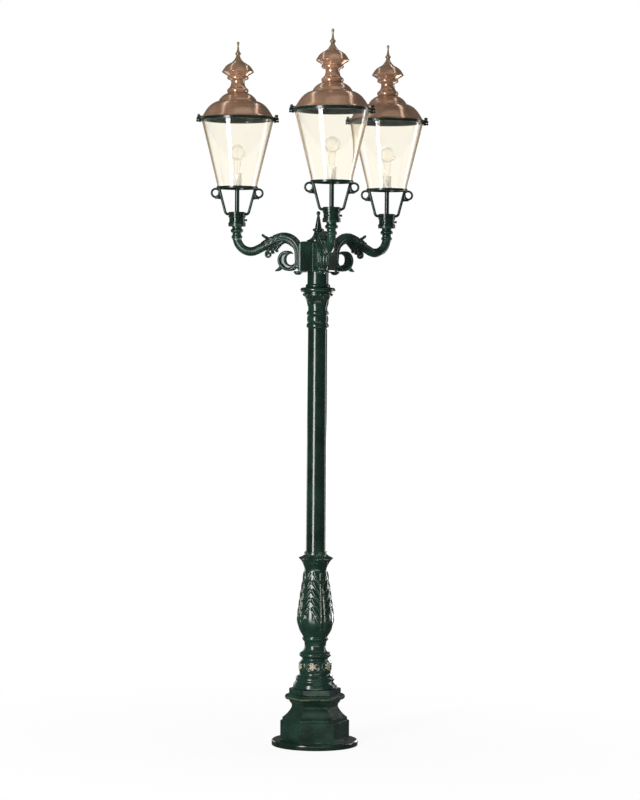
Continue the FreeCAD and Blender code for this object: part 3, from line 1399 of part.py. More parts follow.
def shade_screws():
    """Ball-headed screws that steady the glass in its ring."""
    screws = []
    for side in (-1, 1):
        tip = Vector(side * (SHADE_TOP_RADIUS + BODY_GAP), 0, screw_level())
        boss_end = RING_OUTER + GLASS_SCREW_BOSS_LENGTH
        ball_x = side * (boss_end + GLASS_SCREW_STANDOFF + GLASS_SCREW_BALL / 2)
        ball = Vector(ball_x, 0, screw_level())
        shank = cross_rod(GLASS_SCREW_RADIUS, tip, ball)
        screws.append(joined([shank, Part.makeSphere(GLASS_SCREW_BALL, ball, Vector(side, 0, 0))]))
    return screws


def hinge_pin_rod(radius):
    """Rod on the hood's hinge axis, through both cheeks."""
    reach = HINGE_EYE_HALF_LENGTH + BODY_GAP + HINGE_CHEEK_WIDTH + HINGE_PIN_STANDOUT
    return cross_rod(radius, Vector(HINGE_X, -reach, HINGE_Z), Vector(HINGE_X, reach, HINGE_Z))


def hood():
    """Spun dome with a hinge eye on its left and a catch lug on its right."""
    outer = turned_stack(HOOD_RIM_RADIUS, HOOD_BASE, HOOD_MOULDINGS)
    inner = turned_stack(HOOD_RIM_RADIUS, HOOD_BASE - HOOD_WALL, HOOD_MOULDINGS, -HOOD_WALL)
    shell = outer.cut(inner)
    root = HOOD_MOULDINGS[0].radius - HOOD_WALL - LUG_ROOT
    eye = cross_rod(
        HINGE_EYE_RADIUS,
        Vector(HINGE_X, -HINGE_EYE_HALF_LENGTH, HINGE_Z),
        Vector(HINGE_X, HINGE_EYE_HALF_LENGTH, HINGE_Z),
    )
    tongue_low = (HINGE_X, -HINGE_EYE_HALF_LENGTH, HINGE_Z - HINGE_EYE_RADIUS)
    tongue = block(tongue_low, (-root, HINGE_EYE_HALF_LENGTH, HINGE_Z))
    lug = block((root, -LUG_HALF_WIDTH, lug_foot()), (CATCH_X + LUG_REACH / 2, LUG_HALF_WIDTH, lug_top()))
    body = joined([shell, eye, tongue, lug])
    return without(body, [
        rod(TURRET_BORE_RADIUS + 2 * SEAT_GAP + HOOD_WALL, TURRET_BASE - TURRET_SPIGOT_LENGTH, TURRET_BASE),
        hinge_pin_rod(HINGE_PIN_RADIUS + PIN_PLAY),
        shifted(rod(CATCH_SHANK_RADIUS + PIN_PLAY, HOOD_BASE, lug_top()), CATCH_X, 0, 0),
    ])


def lug_foot():
    """Underside of the catch lug, just above its ear."""
    return RING_TOP + 2 * BODY_GAP


def lug_top():
    """Top of the catch lug."""
    return lug_foot() + LUG_THICKNESS


def catch_screw():
    """Captive thumb screw with a fluted knob."""
    shank = rod(CATCH_SHANK_RADIUS, RING_TOP - CATCH_SHANK_DEPTH, lug_top() + BODY_GAP)
    knob = rod(CATCH_KNOB_RADIUS, lug_top() + BODY_GAP, lug_top() + BODY_GAP + CATCH_KNOB_HEIGHT)
    flute = rod(CATCH_FLUTE_RADIUS, lug_top(), lug_top() + 2 * CATCH_KNOB_HEIGHT)
    knob = without(knob, ring_of(shifted(flute, CATCH_KNOB_RADIUS, 0, 0), CATCH_FLUTES))
    return shifted(joined([shank, knob]), CATCH_X, 0, 0)


def turret():
    """Hollow vent turret with a broad cap, seated in the top of the hood."""
    body = turned_stack(TURRET_FOOT_RADIUS, TURRET_BASE, TURRET_MOULDINGS)
    foot = TURRET_BASE - TURRET_SPIGOT_LENGTH
    spigot = rod(TURRET_BORE_RADIUS + HOOD_WALL, foot, TURRET_BASE)
    rim, flank = TURRET_MOULDINGS[5:7]
    hollow = turned([
        (0.0, foot),
        (TURRET_BORE_RADIUS, foot),
        (TURRET_BORE_RADIUS, TURRET_BASE + rise_of(TURRET_MOULDINGS[:4])),
        (rim.radius - TURRET_CAP_WALL, TURRET_BASE + rise_of(TURRET_MOULDINGS[:6])),
        (flank.radius - TURRET_CAP_WALL, TURRET_BASE + rise_of(TURRET_MOULDINGS[:7])),
        (0.0, TURRET_BASE + rise_of(TURRET_MOULDINGS[:7])),
    ])
    stud_hole = rod(SPIRE_STUD_RADIUS + SEAT_GAP, SPIRE_BASE - SPIRE_STUD_LENGTH, SPIRE_BASE)
    return without(joined([body, spigot]), [hollow, stud_hole])


def spire():
    """Turned spike on the turret."""
    body = turned_stack(SPIRE_FOOT_RADIUS, SPIRE_BASE, SPIRE_MOULDINGS)
    return joined([body, rod(SPIRE_STUD_RADIUS, SPIRE_BASE - SPIRE_STUD_LENGTH, SPIRE_BASE)])


# Saving


def save(name, shape):
    """Write one piece to its own file."""
    shape.exportStep("parts/" + name + ".step")


def lantern_places():
    """Plan position of each lantern by its arm's name."""
    return {name: along(angle, ARM_REACH) for name, angle in zip(ARM_NAMES, arm_angles())}


def placed(shape, place):
    """Lantern piece moved onto the seat of one arm."""
    return shifted(shape, place[0], place[1], LANTERN_SEAT)


def build_post():
    """Save the pieces of the post."""
    pieces = (
        ground_plate, plinth_bolts, plinth, service_door, door_hinge_pin, door_lock, terminal_box,
        pedestal, grub_screws, shaft, capital, hub, hub_finial, arm_bolts,
    )
    for piece in pieces:
        save(piece.__name__, piece())
    pattern = arm()
    for name, angle in zip(ARM_NAMES, arm_angles()):
        save("arm_" + name, spun(pattern, angle))


def build_lanterns():
    """Save the pieces of the three lanterns, and the fasteners that they share."""
    own = (
        cradle, conduit, lamp_tray, lamp_holder, bulb, shade_seal, shade, crown_ring, hood, turret,
        spire, catch_screw,
    )
    for piece in own:
        pattern = piece()
        for name, place in lantern_places().items():
            save(piece.__name__ + "_" + name, placed(pattern, place))
    pins = [hinge_pin_rod(HINGE_PIN_RADIUS)]
    shared = {"sleeve_screws": sleeve_screws(), "hinge_pins": pins, "shade_screws": shade_screws()}
    for name, solids in shared.items():
        copies = [placed(solid, place) for place in lantern_places().values() for solid in solids]
        save(name, Part.makeCompound(copies))


def main():
    """Build every piece."""
    os.makedirs("parts", exist_ok=True)
    build_post()
    build_lanterns()


main()
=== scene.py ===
"""Dresses the three-head lamp post: enamelled castings, scroll arms with leaves, spun copper hoods,
glass shades and lamps, set on a pale studio floor.

Lengths are metres in the post's own frame: Z is up, the origin is the centre of the ground plate's
underside, and the viewer stands on the -Y side.
"""
from __future__ import annotations

import logging
import math
from dataclasses import dataclass
from enum import Enum
from typing import Any, Iterable, Sequence

import bpy
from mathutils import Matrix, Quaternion, Vector

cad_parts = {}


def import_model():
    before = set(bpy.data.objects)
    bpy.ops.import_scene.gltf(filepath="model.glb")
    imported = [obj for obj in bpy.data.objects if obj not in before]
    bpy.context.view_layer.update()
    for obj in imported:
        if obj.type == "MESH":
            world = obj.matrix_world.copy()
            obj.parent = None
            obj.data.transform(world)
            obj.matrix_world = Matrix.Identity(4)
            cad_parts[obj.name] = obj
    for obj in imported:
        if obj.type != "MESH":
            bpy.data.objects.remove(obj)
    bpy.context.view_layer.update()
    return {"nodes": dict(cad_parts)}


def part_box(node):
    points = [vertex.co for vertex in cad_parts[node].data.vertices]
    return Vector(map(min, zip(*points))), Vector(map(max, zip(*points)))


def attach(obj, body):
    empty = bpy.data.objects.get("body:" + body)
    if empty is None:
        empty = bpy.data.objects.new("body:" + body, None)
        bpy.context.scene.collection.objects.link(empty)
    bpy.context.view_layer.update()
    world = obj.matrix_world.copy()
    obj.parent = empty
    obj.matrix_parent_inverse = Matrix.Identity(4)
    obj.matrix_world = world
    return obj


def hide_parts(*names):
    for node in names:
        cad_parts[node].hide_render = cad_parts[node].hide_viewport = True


LOG = logging.getLogger("lamp_post")
MM = 0.001
LANTERNS = ("front", "right", "left")
WHITE = (1.0, 1.0, 1.0, 1.0)
MOTTLE_STOPS = (0.35, 0.65)
SMOOTH_DEGREES = 40.0
STROKE_ORDER = 3
STROKE_STEPS = 4
EASE_SEGMENTS = 3
SMOOTHING = 0.5
WELD = 0.01 * MM
# Heights between which more gold is rubbed on: the pedestal's drum and leaves, the capital's beads and the
# lower edge of the plinth's torus.
BRIGHT_BANDS = ((0.325, 0.385), (0.505, 0.775))
CAPITAL_BANDS = ((1.975, 1.995), (1.999, 2.02))
PLINTH_GILT_BANDS = ((0.2075, 0.2135),)


class Rub(Enum):
    """How much of the olive-gold rubbing shows on a casting."""

    BARE = 0.0
    LIGHT = 0.35


def linear(code: str) -> tuple[float, float, float, float]:
    """Turn an sRGB hex colour into a linear one.

    Args:
        code: Colour such as "#17322A".

    Returns:
        Red, green, blue and alpha for a colour socket.
    """
    channels = []
    for start in (1, 3, 5):
        value = int(code[start:start + 2], 16) / 255.0
        channels.append(value / 12.92 if value <= 0.04045 else ((value + 0.055) / 1.055) ** 2.4)
    return (channels[0], channels[1], channels[2], 1.0)


def per_metre(size_mm: float) -> float:
    """Texture scale for a pattern whose features are a size in millimetres."""
    return 1.0 / (size_mm * MM)


def add_node(
    tree: bpy.types.NodeTree,
    kind: str,
    sockets: dict[Any, Any] | None = None,
    links: dict[Any, bpy.types.NodeSocket] | None = None,
    **settings: Any,
) -> bpy.types.Node:
    """Add one node with its settings, constants and links.

    Args:
        tree: Node tree that gets the node.
        kind: Type of the node.
        sockets: Constants by input name or number.
        links: Output sockets of other nodes by input name or number.
        **settings: Properties of the node itself.

    Returns:
        The new node.
    """
    node = tree.nodes.new(kind)
    for name, value in settings.items():
        setattr(node, name, value)
    for key, value in (sockets or {}).items():
        node.inputs[key].default_value = value
    for key, source in (links or {}).items():
        tree.links.new(source, node.inputs[key])
    return node


def ramp(node: bpy.types.Node, stops: Iterable[tuple[float, tuple[float, float, float, float]]]) -> None:
    """Set the two stops of a colour ramp.

    Args:
        node: Colour ramp node.
        stops: Place and colour of each stop.
    """
    for element, (place, colour) in zip(node.color_ramp.elements, stops):
        element.position = place
        element.color = colour


def new_material(name: str) -> tuple[bpy.types.Material, bpy.types.NodeTree, bpy.types.Node]:
    """Start a material with an empty tree and its main shader.

    Args:
        name: Name of the finish.

    Returns:
        The material, its tree and its Principled shader.
    """
    material = bpy.data.materials.new(name)
    material.use_nodes = True
    tree = material.node_tree
    tree.nodes.clear()
    shader = add_node(tree, "ShaderNodeBsdfPrincipled")
    add_node(tree, "ShaderNodeOutputMaterial", links={"Surface": shader.outputs["BSDF"]})
    return material, tree, shader


@dataclass(frozen=True)
class CastEnamel:
    """Glossy alkyd enamel brushed over sand-cast aluminium: a deep green whose tone varies at random, with
    soft brush waves in its shine and olive gold rubbed onto raised edges."""

    name: str
    rub: Rub
    light: str = "#173329"
    dark: str = "#0B1C15"
    gold: str = "#80784E"
    gold_high: str = "#ADA478"
    roughness: float = 0.17
    tone_mm: float = 70.0
    wave_mm: float = 26.0
    grain_mm: float = 3.0
    patch_mm: float = 55.0
    edge_mm: float = 4.0
    bright_bands: tuple[tuple[float, float], ...] = ()
    gilt_bands: tuple[tuple[float, float], ...] = ()
    band_boost: float = 0.14
    gilt_boost: float = 0.25
    tone_stops: tuple[float, float] = (0.32, 0.68)
    gold_stops: tuple[float, float] = (0.45, 0.75)
    gloss_spread: tuple[float, float] = (-0.05, 0.08)
    wave_height_mm: float = 1.0
    wave_strength: float = 0.4
    grain_height_mm: float = 0.25
    grain_strength: float = 0.08
    edge_reading: tuple[float, float] = (0.78, 0.42)
    patch_start: float = 0.62
    patch_reach: float = 0.16
    patch_fade: float = 0.12
    refraction: float = 1.5

    def make(self) -> bpy.types.Material:
        """Build the material."""
        material, tree, shader = new_material(self.name)
        place = add_node(tree, "ShaderNodeTexCoord").outputs["Object"]
        tone = add_node(
            tree, "ShaderNodeTexNoise", {"Scale": per_metre(self.tone_mm), "Detail": 4.0}, {"Vector": place}
        )
        green = add_node(tree, "ShaderNodeValToRGB", links={"Fac": tone.outputs["Fac"]})
        ramp(green, zip(self.tone_stops, (linear(self.dark), linear(self.light))))
        colour = green.outputs["Color"]
        if self.rub is not Rub.BARE:
            colour = self.rubbed(tree, place, colour)
        tree.links.new(colour, shader.inputs["Base Color"])
        wave = add_node(
            tree, "ShaderNodeTexNoise", {"Scale": per_metre(self.wave_mm), "Detail": 2.0}, {"Vector": place}
        )
        grain = add_node(
            tree, "ShaderNodeTexNoise", {"Scale": per_metre(self.grain_mm), "Detail": 1.0}, {"Vector": place}
        )
        gloss = add_node(
            tree, "ShaderNodeMapRange",
            {
                "To Min": self.roughness + self.gloss_spread[0],
                "To Max": self.roughness + self.gloss_spread[1],
            },
            {"Value": tone.outputs["Fac"]},
        )
        tree.links.new(gloss.outputs["Result"], shader.inputs["Roughness"])
        waves = add_node(
            tree, "ShaderNodeBump", {"Strength": self.wave_strength, "Distance": self.wave_height_mm * MM},
            {"Height": wave.outputs["Fac"]},
        )
        skin = add_node(
            tree, "ShaderNodeBump", {"Strength": self.grain_strength, "Distance": self.grain_height_mm * MM},
            {"Height": grain.outputs["Fac"], "Normal": waves.outputs["Normal"]},
        )
        tree.links.new(skin.outputs["Normal"], shader.inputs["Normal"])
        shader.inputs["IOR"].default_value = self.refraction
        return material

    def rubbed(
        self, tree: bpy.types.NodeTree, place: bpy.types.NodeSocket, colour: bpy.types.NodeSocket
    ) -> bpy.types.NodeSocket:
        """Lay the rubbed gold over a colour where the casting stands proud.

        Args:
            tree: Material's node tree.
            place: Object coordinates.
            colour: Colour below the rubbing.

        Returns:
            The colour with the rubbing on it.
        """
        proud = add_node(
            tree, "ShaderNodeAmbientOcclusion", {"Distance": self.edge_mm * MM},
            inside=True, only_local=True, samples=8,
        )
        edge = add_node(
            tree, "ShaderNodeMapRange",
            {"From Min": self.edge_reading[0], "From Max": self.edge_reading[1]},
            {"Value": proud.outputs["AO"]},
        )
        patch = add_node(
            tree, "ShaderNodeTexNoise", {"Scale": per_metre(self.patch_mm), "Detail": 5.0, "Roughness": 0.65},
            {"Vector": place},
        )
        low = self.patch_start - self.patch_reach * self.rub.value
        reached = self.raised_in(tree, place, patch.outputs["Fac"], self.bright_bands, self.band_boost)
        spread = add_node(
            tree, "ShaderNodeMapRange", {"From Min": low, "From Max": low + self.patch_fade},
            {"Value": reached},
        )
        proud_here = self.raised_in(tree, place, edge.outputs["Result"], self.gilt_bands, self.gilt_boost)
        mask = add_node(
            tree, "ShaderNodeMath", links={0: proud_here, 1: spread.outputs["Result"]}, operation="MULTIPLY",
            use_clamp=True,
        )
        metal = add_node(tree, "ShaderNodeValToRGB", links={"Fac": patch.outputs["Fac"]})
        ramp(metal, zip(self.gold_stops, (linear(self.gold), linear(self.gold_high))))
        mix = add_node(
            tree, "ShaderNodeMix",
            links={"Factor": mask.outputs["Value"], "A": colour, "B": metal.outputs["Color"]},
            data_type="RGBA",
        )
        return mix.outputs["Result"]

    @staticmethod
    def raised_in(
        tree: bpy.types.NodeTree, place: bpy.types.NodeSocket, value: bpy.types.NodeSocket,
        bands: Sequence[tuple[float, float]], step: float,
    ) -> bpy.types.NodeSocket:
        """Raise a value inside level bands.

        Args:
            tree: Material's node tree.
            place: Object coordinates.
            value: Value to raise.
            bands: Bottom and top of each band.
            step: How much it is raised by.

        Returns:
            The raised value.
        """
        height = add_node(tree, "ShaderNodeSeparateXYZ", links={"Vector": place}).outputs["Z"]
        for bottom, top in bands:
            band = add_node(
                tree, "ShaderNodeMath", {1: (bottom + top) / 2.0, 2: (top - bottom) / 2.0}, {0: height},
                operation="COMPARE",
            )
            lifted = add_node(
                tree, "ShaderNodeMath", {1: step}, {0: band.outputs["Value"], 2: value},
                operation="MULTIPLY_ADD",
            )
            value = lifted.outputs["Value"]
        return value


@dataclass(frozen=True)
class SpunMetal:
    """Metal spun or turned on a lathe and left satin: level tool lines round the piece stretch its
    highlights upwards, and handling leaves faint darker clouds."""

    name: str
    light: str
    dark: str
    roughness: float
    metallic: float = 0.55
    line_mm: float = 2.4
    line_stretch: float = 2.0
    line_depth_mm: float = 0.3
    line_strength: float = 0.12
    cloud_mm: float = 60.0
    cloud_share: float = 0.55
    gloss_spread: tuple[float, float] = (-0.06, 0.08)

    def make(self) -> bpy.types.Material:
        """Build the material."""
        material, tree, shader = new_material(self.name)
        place = add_node(tree, "ShaderNodeTexCoord").outputs["Object"]
        level = add_node(
            tree, "ShaderNodeMapping",
            {"Scale": (self.line_stretch, self.line_stretch, per_metre(self.line_mm))}, {"Vector": place},
        )
        lines = add_node(
            tree, "ShaderNodeTexNoise", {"Scale": 1.0, "Detail": 3.0}, {"Vector": level.outputs["Vector"]}
        )
        cloud = add_node(
            tree, "ShaderNodeTexNoise", {"Scale": per_metre(self.cloud_mm), "Detail": 4.0}, {"Vector": place}
        )
        blend = add_node(
            tree, "ShaderNodeMix", {"Factor": self.cloud_share},
            {"A": lines.outputs["Fac"], "B": cloud.outputs["Fac"]}, data_type="FLOAT",
        )
        tone = add_node(tree, "ShaderNodeValToRGB", links={"Fac": blend.outputs["Result"]})
        ramp(tone, zip(MOTTLE_STOPS, (linear(self.dark), linear(self.light))))
        tree.links.new(tone.outputs["Color"], shader.inputs["Base Color"])
        gloss = add_node(
            tree, "ShaderNodeMapRange",
            {
                "To Min": self.roughness + self.gloss_spread[0],
                "To Max": self.roughness + self.gloss_spread[1],
            },
            {"Value": lines.outputs["Fac"]},
        )
        tree.links.new(gloss.outputs["Result"], shader.inputs["Roughness"])
        bump = add_node(
            tree, "ShaderNodeBump", {"Strength": self.line_strength, "Distance": self.line_depth_mm * MM},
            {"Height": lines.outputs["Fac"]},
        )
        tree.links.new(bump.outputs["Normal"], shader.inputs["Normal"])
        shader.inputs["Metallic"].default_value = self.metallic
        return material


@dataclass(frozen=True)
class ClearGlass:
    """Mould-blown glass: clear, gently rippled where it cooled, and brown where it is seen along its wall."""

    name: str
    tint: str
    edge: str
    roughness: float
    alpha: float = 1.0
    edge_stops: tuple[float, float] = (0.62, 0.74)
    ripple_mm: float = 90.0
    ripple_height_mm: float = 1.0
    ripple_strength: float = 0.06
    refraction: float = 1.45

    def make(self) -> bpy.types.Material:
        """Build the material."""
        material, tree, shader = new_material(self.name)
        place = add_node(tree, "ShaderNodeTexCoord").outputs["Object"]
        ripple = add_node(
            tree, "ShaderNodeTexNoise", {"Scale": per_metre(self.ripple_mm), "Detail": 1.0}, {"Vector": place}
        )
        bump = add_node(
            tree, "ShaderNodeBump",
            {"Strength": self.ripple_strength, "Distance": self.ripple_height_mm * MM},
            {"Height": ripple.outputs["Fac"]},
        )
        tree.links.new(bump.outputs["Normal"], shader.inputs["Normal"])
        slant = add_node(tree, "ShaderNodeLayerWeight", {"Blend": 0.5})
        cast_colour = add_node(tree, "ShaderNodeValToRGB", links={"Fac": slant.outputs["Facing"]})
        ramp(cast_colour, zip(self.edge_stops, (linear(self.tint), linear(self.edge))))
        tree.links.new(cast_colour.outputs["Color"], shader.inputs["Base Color"])
        shader.inputs["Roughness"].default_value = self.roughness
        shader.inputs["Transmission Weight"].default_value = 1.0
        shader.inputs["Alpha"].default_value = self.alpha
        shader.inputs["IOR"].default_value = self.refraction
        return material


@dataclass(frozen=True)
class PlainStuff:
    """Moulded, glazed or drawn material whose surface shows only a fine grain and a slight mottle."""

    name: str
    light: str
    dark: str
    roughness: float
    metallic: float = 0.0
    grain_mm: float = 1.5
    bump_mm: float = 0.05
    bump_strength: float = 0.4

    def make(self) -> bpy.types.Material:
        """Build the material."""
        material, tree, shader = new_material(self.name)
        place = add_node(tree, "ShaderNodeTexCoord").outputs["Object"]
        grain = add_node(
            tree, "ShaderNodeTexNoise", {"Scale": per_metre(self.grain_mm), "Detail": 3.0}, {"Vector": place}
        )
        tone = add_node(tree, "ShaderNodeValToRGB", links={"Fac": grain.outputs["Fac"]})
        ramp(tone, zip(MOTTLE_STOPS, (linear(self.dark), linear(self.light))))
        tree.links.new(tone.outputs["Color"], shader.inputs["Base Color"])
        bump = add_node(
            tree, "ShaderNodeBump", {"Strength": self.bump_strength, "Distance": self.bump_mm * MM},
            {"Height": grain.outputs["Fac"]},
        )
        tree.links.new(bump.outputs["Normal"], shader.inputs["Normal"])
        shader.inputs["Roughness"].default_value = self.roughness
        shader.inputs["Metallic"].default_value = self.metallic
        return material


@dataclass
class Finishes:
    """All finishes of the post, made once."""

    def __post_init__(self) -> None:
        """Make each material."""
        self.plain = CastEnamel("green_enamel_plain", Rub.BARE, light="#11291F", dark="#081710").make()
        # Arm enamel: its green is a lighter copy of the others, a painted highlight for the broad sheen along
        # the arms. Its rubbing on raised edges is real wear, tinted pale silvery olive as a painted
        # highlight.
        self.arm_enamel_worn_and_lit = CastEnamel(
            "green_enamel_worn_and_lit", Rub.LIGHT, light="#1A3A2F", gold="#66705A", gold_high="#8C957C",
            roughness=0.24,
        ).make()
        self.capital = CastEnamel("green_enamel_capital", Rub.LIGHT, bright_bands=CAPITAL_BANDS).make()
        self.rubbed = CastEnamel(
            "green_enamel_rubbed", Rub.LIGHT, edge_mm=9.0, bright_bands=BRIGHT_BANDS, band_boost=0.2
        ).make()
        self.plinth = CastEnamel(
            "green_enamel_plinth", Rub.LIGHT, bright_bands=PLINTH_GILT_BANDS, gilt_bands=PLINTH_GILT_BANDS
        ).make()
        self.gilt = CastEnamel(
            "green_enamel_gilt", Rub.BARE, light="#B4AC8E", dark="#2A3A2C", roughness=0.3, tone_mm=30.0
        ).make()
        self.copper = SpunMetal("spun_copper", "#B9957B", "#97755E", 0.18).make()
        self.brass = SpunMetal("toned_brass", "#9C876B", "#75634C", 0.28, line_mm=1.5).make()
        self.glass = ClearGlass("clear_lantern_glass", "#FEFBF3", "#8E6E44", 0.0).make()
        self.lamp = ClearGlass(
            "pearl_lamp_glass", "#FFF6DE", "#E9D9A8", 0.12, alpha=0.15, ripple_mm=40.0
        ).make()
        self.porcelain = PlainStuff("glazed_porcelain", "#F6F5F1", "#EDEBE5", 0.15).make()
        self.rubber = PlainStuff("seal_rubber", "#22221F", "#181816", 0.7).make()
        self.steel = PlainStuff("drawn_stainless_steel", "#B4B5B3", "#9D9E9C", 0.3, 1.0).make()
        self.plastic = PlainStuff("moulded_box_plastic", "#6C6F70", "#636667", 0.5).make()


def alone(piece: bpy.types.Object) -> bpy.types.Object:
    """Select one object and nothing else.

    Args:
        piece: Object to work on.

    Returns:
        The same object, now active.
    """
    bpy.ops.object.select_all(action="DESELECT")
    piece.select_set(True)
    bpy.context.view_layer.objects.active = piece
    return piece


def swept(
    points: Sequence[Sequence[float]], radii: Sequence[float], widen: float = 1.0, rounding: int = 5
) -> bpy.types.Object:
    """Round bar along a smooth line, thick and thin where its radii say.

    Args:
        points: Control points of the line.
        radii: Radius at each point.
        widen: How many times wider than thick the bar is, along Y.
        rounding: How finely the bar's section is rounded.

    Returns:
        A closed mesh object.
    """
    bpy.ops.object.select_all(action="DESELECT")
    bpy.ops.curve.primitive_nurbs_path_add(location=(0.0, 0.0, 0.0))
    bar = bpy.context.object
    curve = bar.data
    curve.splines.clear()
    line = curve.splines.new("NURBS")
    line.points.add(len(points) - 1)
    for knot, place, radius in zip(line.points, points, radii):
        knot.co = (place[0], place[1], place[2], 1.0)
        knot.radius = radius
    line.order_u = min(STROKE_ORDER, len(points))
    line.use_endpoint_u = True
    line.resolution_u = STROKE_STEPS
    curve.dimensions = "3D"
    curve.bevel_depth = 1.0
    curve.bevel_resolution = rounding
    curve.use_fill_caps = True
    bpy.ops.object.convert(target="MESH")
    bar = bpy.context.object
    if widen != 1.0:
        bpy.ops.object.mode_set(mode="EDIT")
        bpy.ops.mesh.select_all(action="SELECT")
        bpy.ops.transform.resize(value=(1.0, widen, 1.0), center_override=(0.0, 0.0, 0.0))
        bpy.ops.object.mode_set(mode="OBJECT")
    return bar


def turned(outline: Sequence[tuple[float, float]], steps: int = 48) -> bpy.types.Object:
    """Shape turned round the Z axis.

    Args:
        outline: Radius and height of each point of its side, from one end to the other.
        steps: Facets round the axis.

    Returns:
        A mesh object, closed where the outline starts and ends on the axis.
    """
    bpy.ops.object.select_all(action="DESELECT")
    bpy.ops.mesh.primitive_plane_add(size=MM, location=(0.0, 0.0, 0.0))
    piece = bpy.context.object
    bpy.ops.object.mode_set(mode="EDIT")
    bpy.ops.mesh.merge(type="CENTER")
    bpy.ops.mesh.select_all(action="SELECT")
    bpy.ops.transform.translate(value=(outline[0][0], 0.0, outline[0][1]))
    for (radius, height), (next_radius, next_height) in zip(outline, outline[1:]):
        bpy.ops.mesh.extrude_vertices_move(
            TRANSFORM_OT_translate={"value": (next_radius - radius, 0.0, next_height - height)}
        )
    bpy.ops.mesh.select_all(action="SELECT")
    bpy.ops.mesh.spin(steps=steps, angle=2.0 * math.pi, center=(0.0, 0.0, 0.0), axis=(0.0, 0.0, 1.0))
    bpy.ops.mesh.select_all(action="SELECT")
    bpy.ops.mesh.remove_doubles(threshold=WELD)
    bpy.ops.mesh.normals_make_consistent(inside=False)
    bpy.ops.object.mode_set(mode="OBJECT")
    return piece


def metres(outline: Sequence[tuple[float, float]]) -> list[tuple[float, float]]:
    """Give an outline in metres that is drawn in millimetres."""
    return [(radius * MM, height * MM) for radius, height in outline]


def block(low: Sequence[float], high: Sequence[float], ease: float) -> bpy.types.Object:
    """Box with eased edges.

    Args:
        low: Lowest corner.
        high: Highest corner.
        ease: Radius of the edges.

    Returns:
        The box.
    """
    bpy.ops.object.select_all(action="DESELECT")
    bpy.ops.mesh.primitive_cube_add(size=1.0, location=[(one + two) / 2.0 for one, two in zip(low, high)])
    piece = bpy.context.object
    piece.scale = [two - one for one, two in zip(low, high)]
    bpy.ops.object.transform_apply(location=True, rotation=True, scale=True)
    bpy.ops.object.mode_set(mode="EDIT")
    bpy.ops.mesh.select_all(action="SELECT")
    bpy.ops.mesh.bevel(offset=ease, segments=EASE_SEGMENTS, affect="EDGES")
    bpy.ops.object.mode_set(mode="OBJECT")
    return piece


def placed(
    piece: bpy.types.Object, x: float = 0.0, y: float = 0.0, z: float = 0.0, turn: float = 0.0
) -> bpy.types.Object:
    """Move and turn a piece and put its new place into its mesh.

    Args:
        piece: Piece to move.
        x: Distance along X.
        y: Distance along Y.
        z: Distance along Z.
        turn: Degrees round the Z axis, before the move.

    Returns:
        The same piece, its object at the origin.
    """
    alone(piece)
    piece.location = (x, y, z)
    piece.rotation_euler = (0.0, 0.0, math.radians(turn))
    bpy.ops.object.transform_apply(location=True, rotation=True, scale=True)
    return piece


def copied(piece: bpy.types.Object) -> bpy.types.Object:
    """Copy a piece with a mesh of its own."""
    alone(piece)
    bpy.ops.object.duplicate(linked=False)
    return bpy.context.object


def joined(pieces: Sequence[bpy.types.Object]) -> bpy.types.Object:
    """Join pieces into one mesh.

    Args:
        pieces: Objects to join.

    Returns:
        The joined object.
    """
    alone(pieces[0])
    for piece in pieces:
        piece.select_set(True)
    bpy.ops.object.join()
    return bpy.context.object


def modified(piece: bpy.types.Object, kind: str, **settings: Any) -> bpy.types.Object:
    """Give a piece one modifier and apply it.

    Args:
        piece: Piece to change.
        kind: Type of the modifier.
        **settings: Settings of the modifier.

    Returns:
        The same piece.
    """
    alone(piece)
    change = piece.modifiers.new(kind.lower(), kind)
    for name, value in settings.items():
        setattr(change, name, value)
    bpy.ops.object.modifier_apply(modifier=change.name)
    return piece


def cast(pieces: Sequence[bpy.types.Object], voxel: float, rounds: int) -> bpy.types.Object:
    """Fuse pieces into one skin with softened joints, as a sand casting has.

    Args:
        pieces: Closed pieces that overlap.
        voxel: Finest detail that stays.
        rounds: How often the skin is smoothed.

    Returns:
        The fused piece.
    """
    piece = modified(joined(pieces), "REMESH", mode="VOXEL", voxel_size=voxel)
    return modified(piece, "SMOOTH", factor=SMOOTHING, iterations=rounds)


def finished(
    piece: bpy.types.Object, name: str, finish: bpy.types.Material, body: str = "post"
) -> bpy.types.Object:
    """Name, shade and dress a piece, and hang it on its body.

    Args:
        piece: Finished mesh.
        name: Name of the piece.
        finish: Its material.
        body: Body that it moves with.

    Returns:
        The same piece.
    """
    alone(piece)
    bpy.ops.object.shade_smooth_by_angle(angle=math.radians(SMOOTH_DEGREES))
    piece.name = name
    piece.data.name = name
    piece.data.materials.clear()
    piece.data.materials.append(finish)
    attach(piece, body)
    LOG.info("%s: %d faces", name, len(piece.data.polygons))
    return piece


def centre_of(node: str) -> Vector:
    """Middle of a node's box."""
    low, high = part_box(node)
    return (Vector(low) + Vector(high)) / 2.0


@dataclass(frozen=True)
class Band:
    """One stretch of a turned side."""

    rise: float
    radius: float
    bulge: float = 0.0


@dataclass(frozen=True)
class Turning:
    """Side of a turned piece as a stack of bands, in millimetres."""

    foot_radius: float
    base: float
    bands: Sequence[Band]
    arc_steps: int = 8

    def outline(self) -> list[tuple[float, float]]:
        """List the side's points from its foot up, in metres."""
        points = [(self.foot_radius * MM, self.base * MM)]
        radius, level = self.foot_radius, self.base
        for band in self.bands:
            steps = self.arc_steps if band.bulge else 1
            for step in range(1, steps + 1):
                share = step / steps
                swell = 4.0 * band.bulge * share * (1.0 - share)
                reach = radius + (band.radius - radius) * share + swell
                points.append((reach * MM, (level + band.rise * share) * MM))
            radius, level = band.radius, level + band.rise
        return points

    def radius_at(self, height: float) -> float:
        """Radius of the side at a height, both in metres."""
        points = self.outline()
        for (low_radius, low), (high_radius, high) in zip(points, points[1:]):
            if low <= height <= high and high > low:
                return low_radius + (high_radius - low_radius) * (height - low) / (high - low)
        return points[0][0] if height < points[0][1] else points[-1][0]


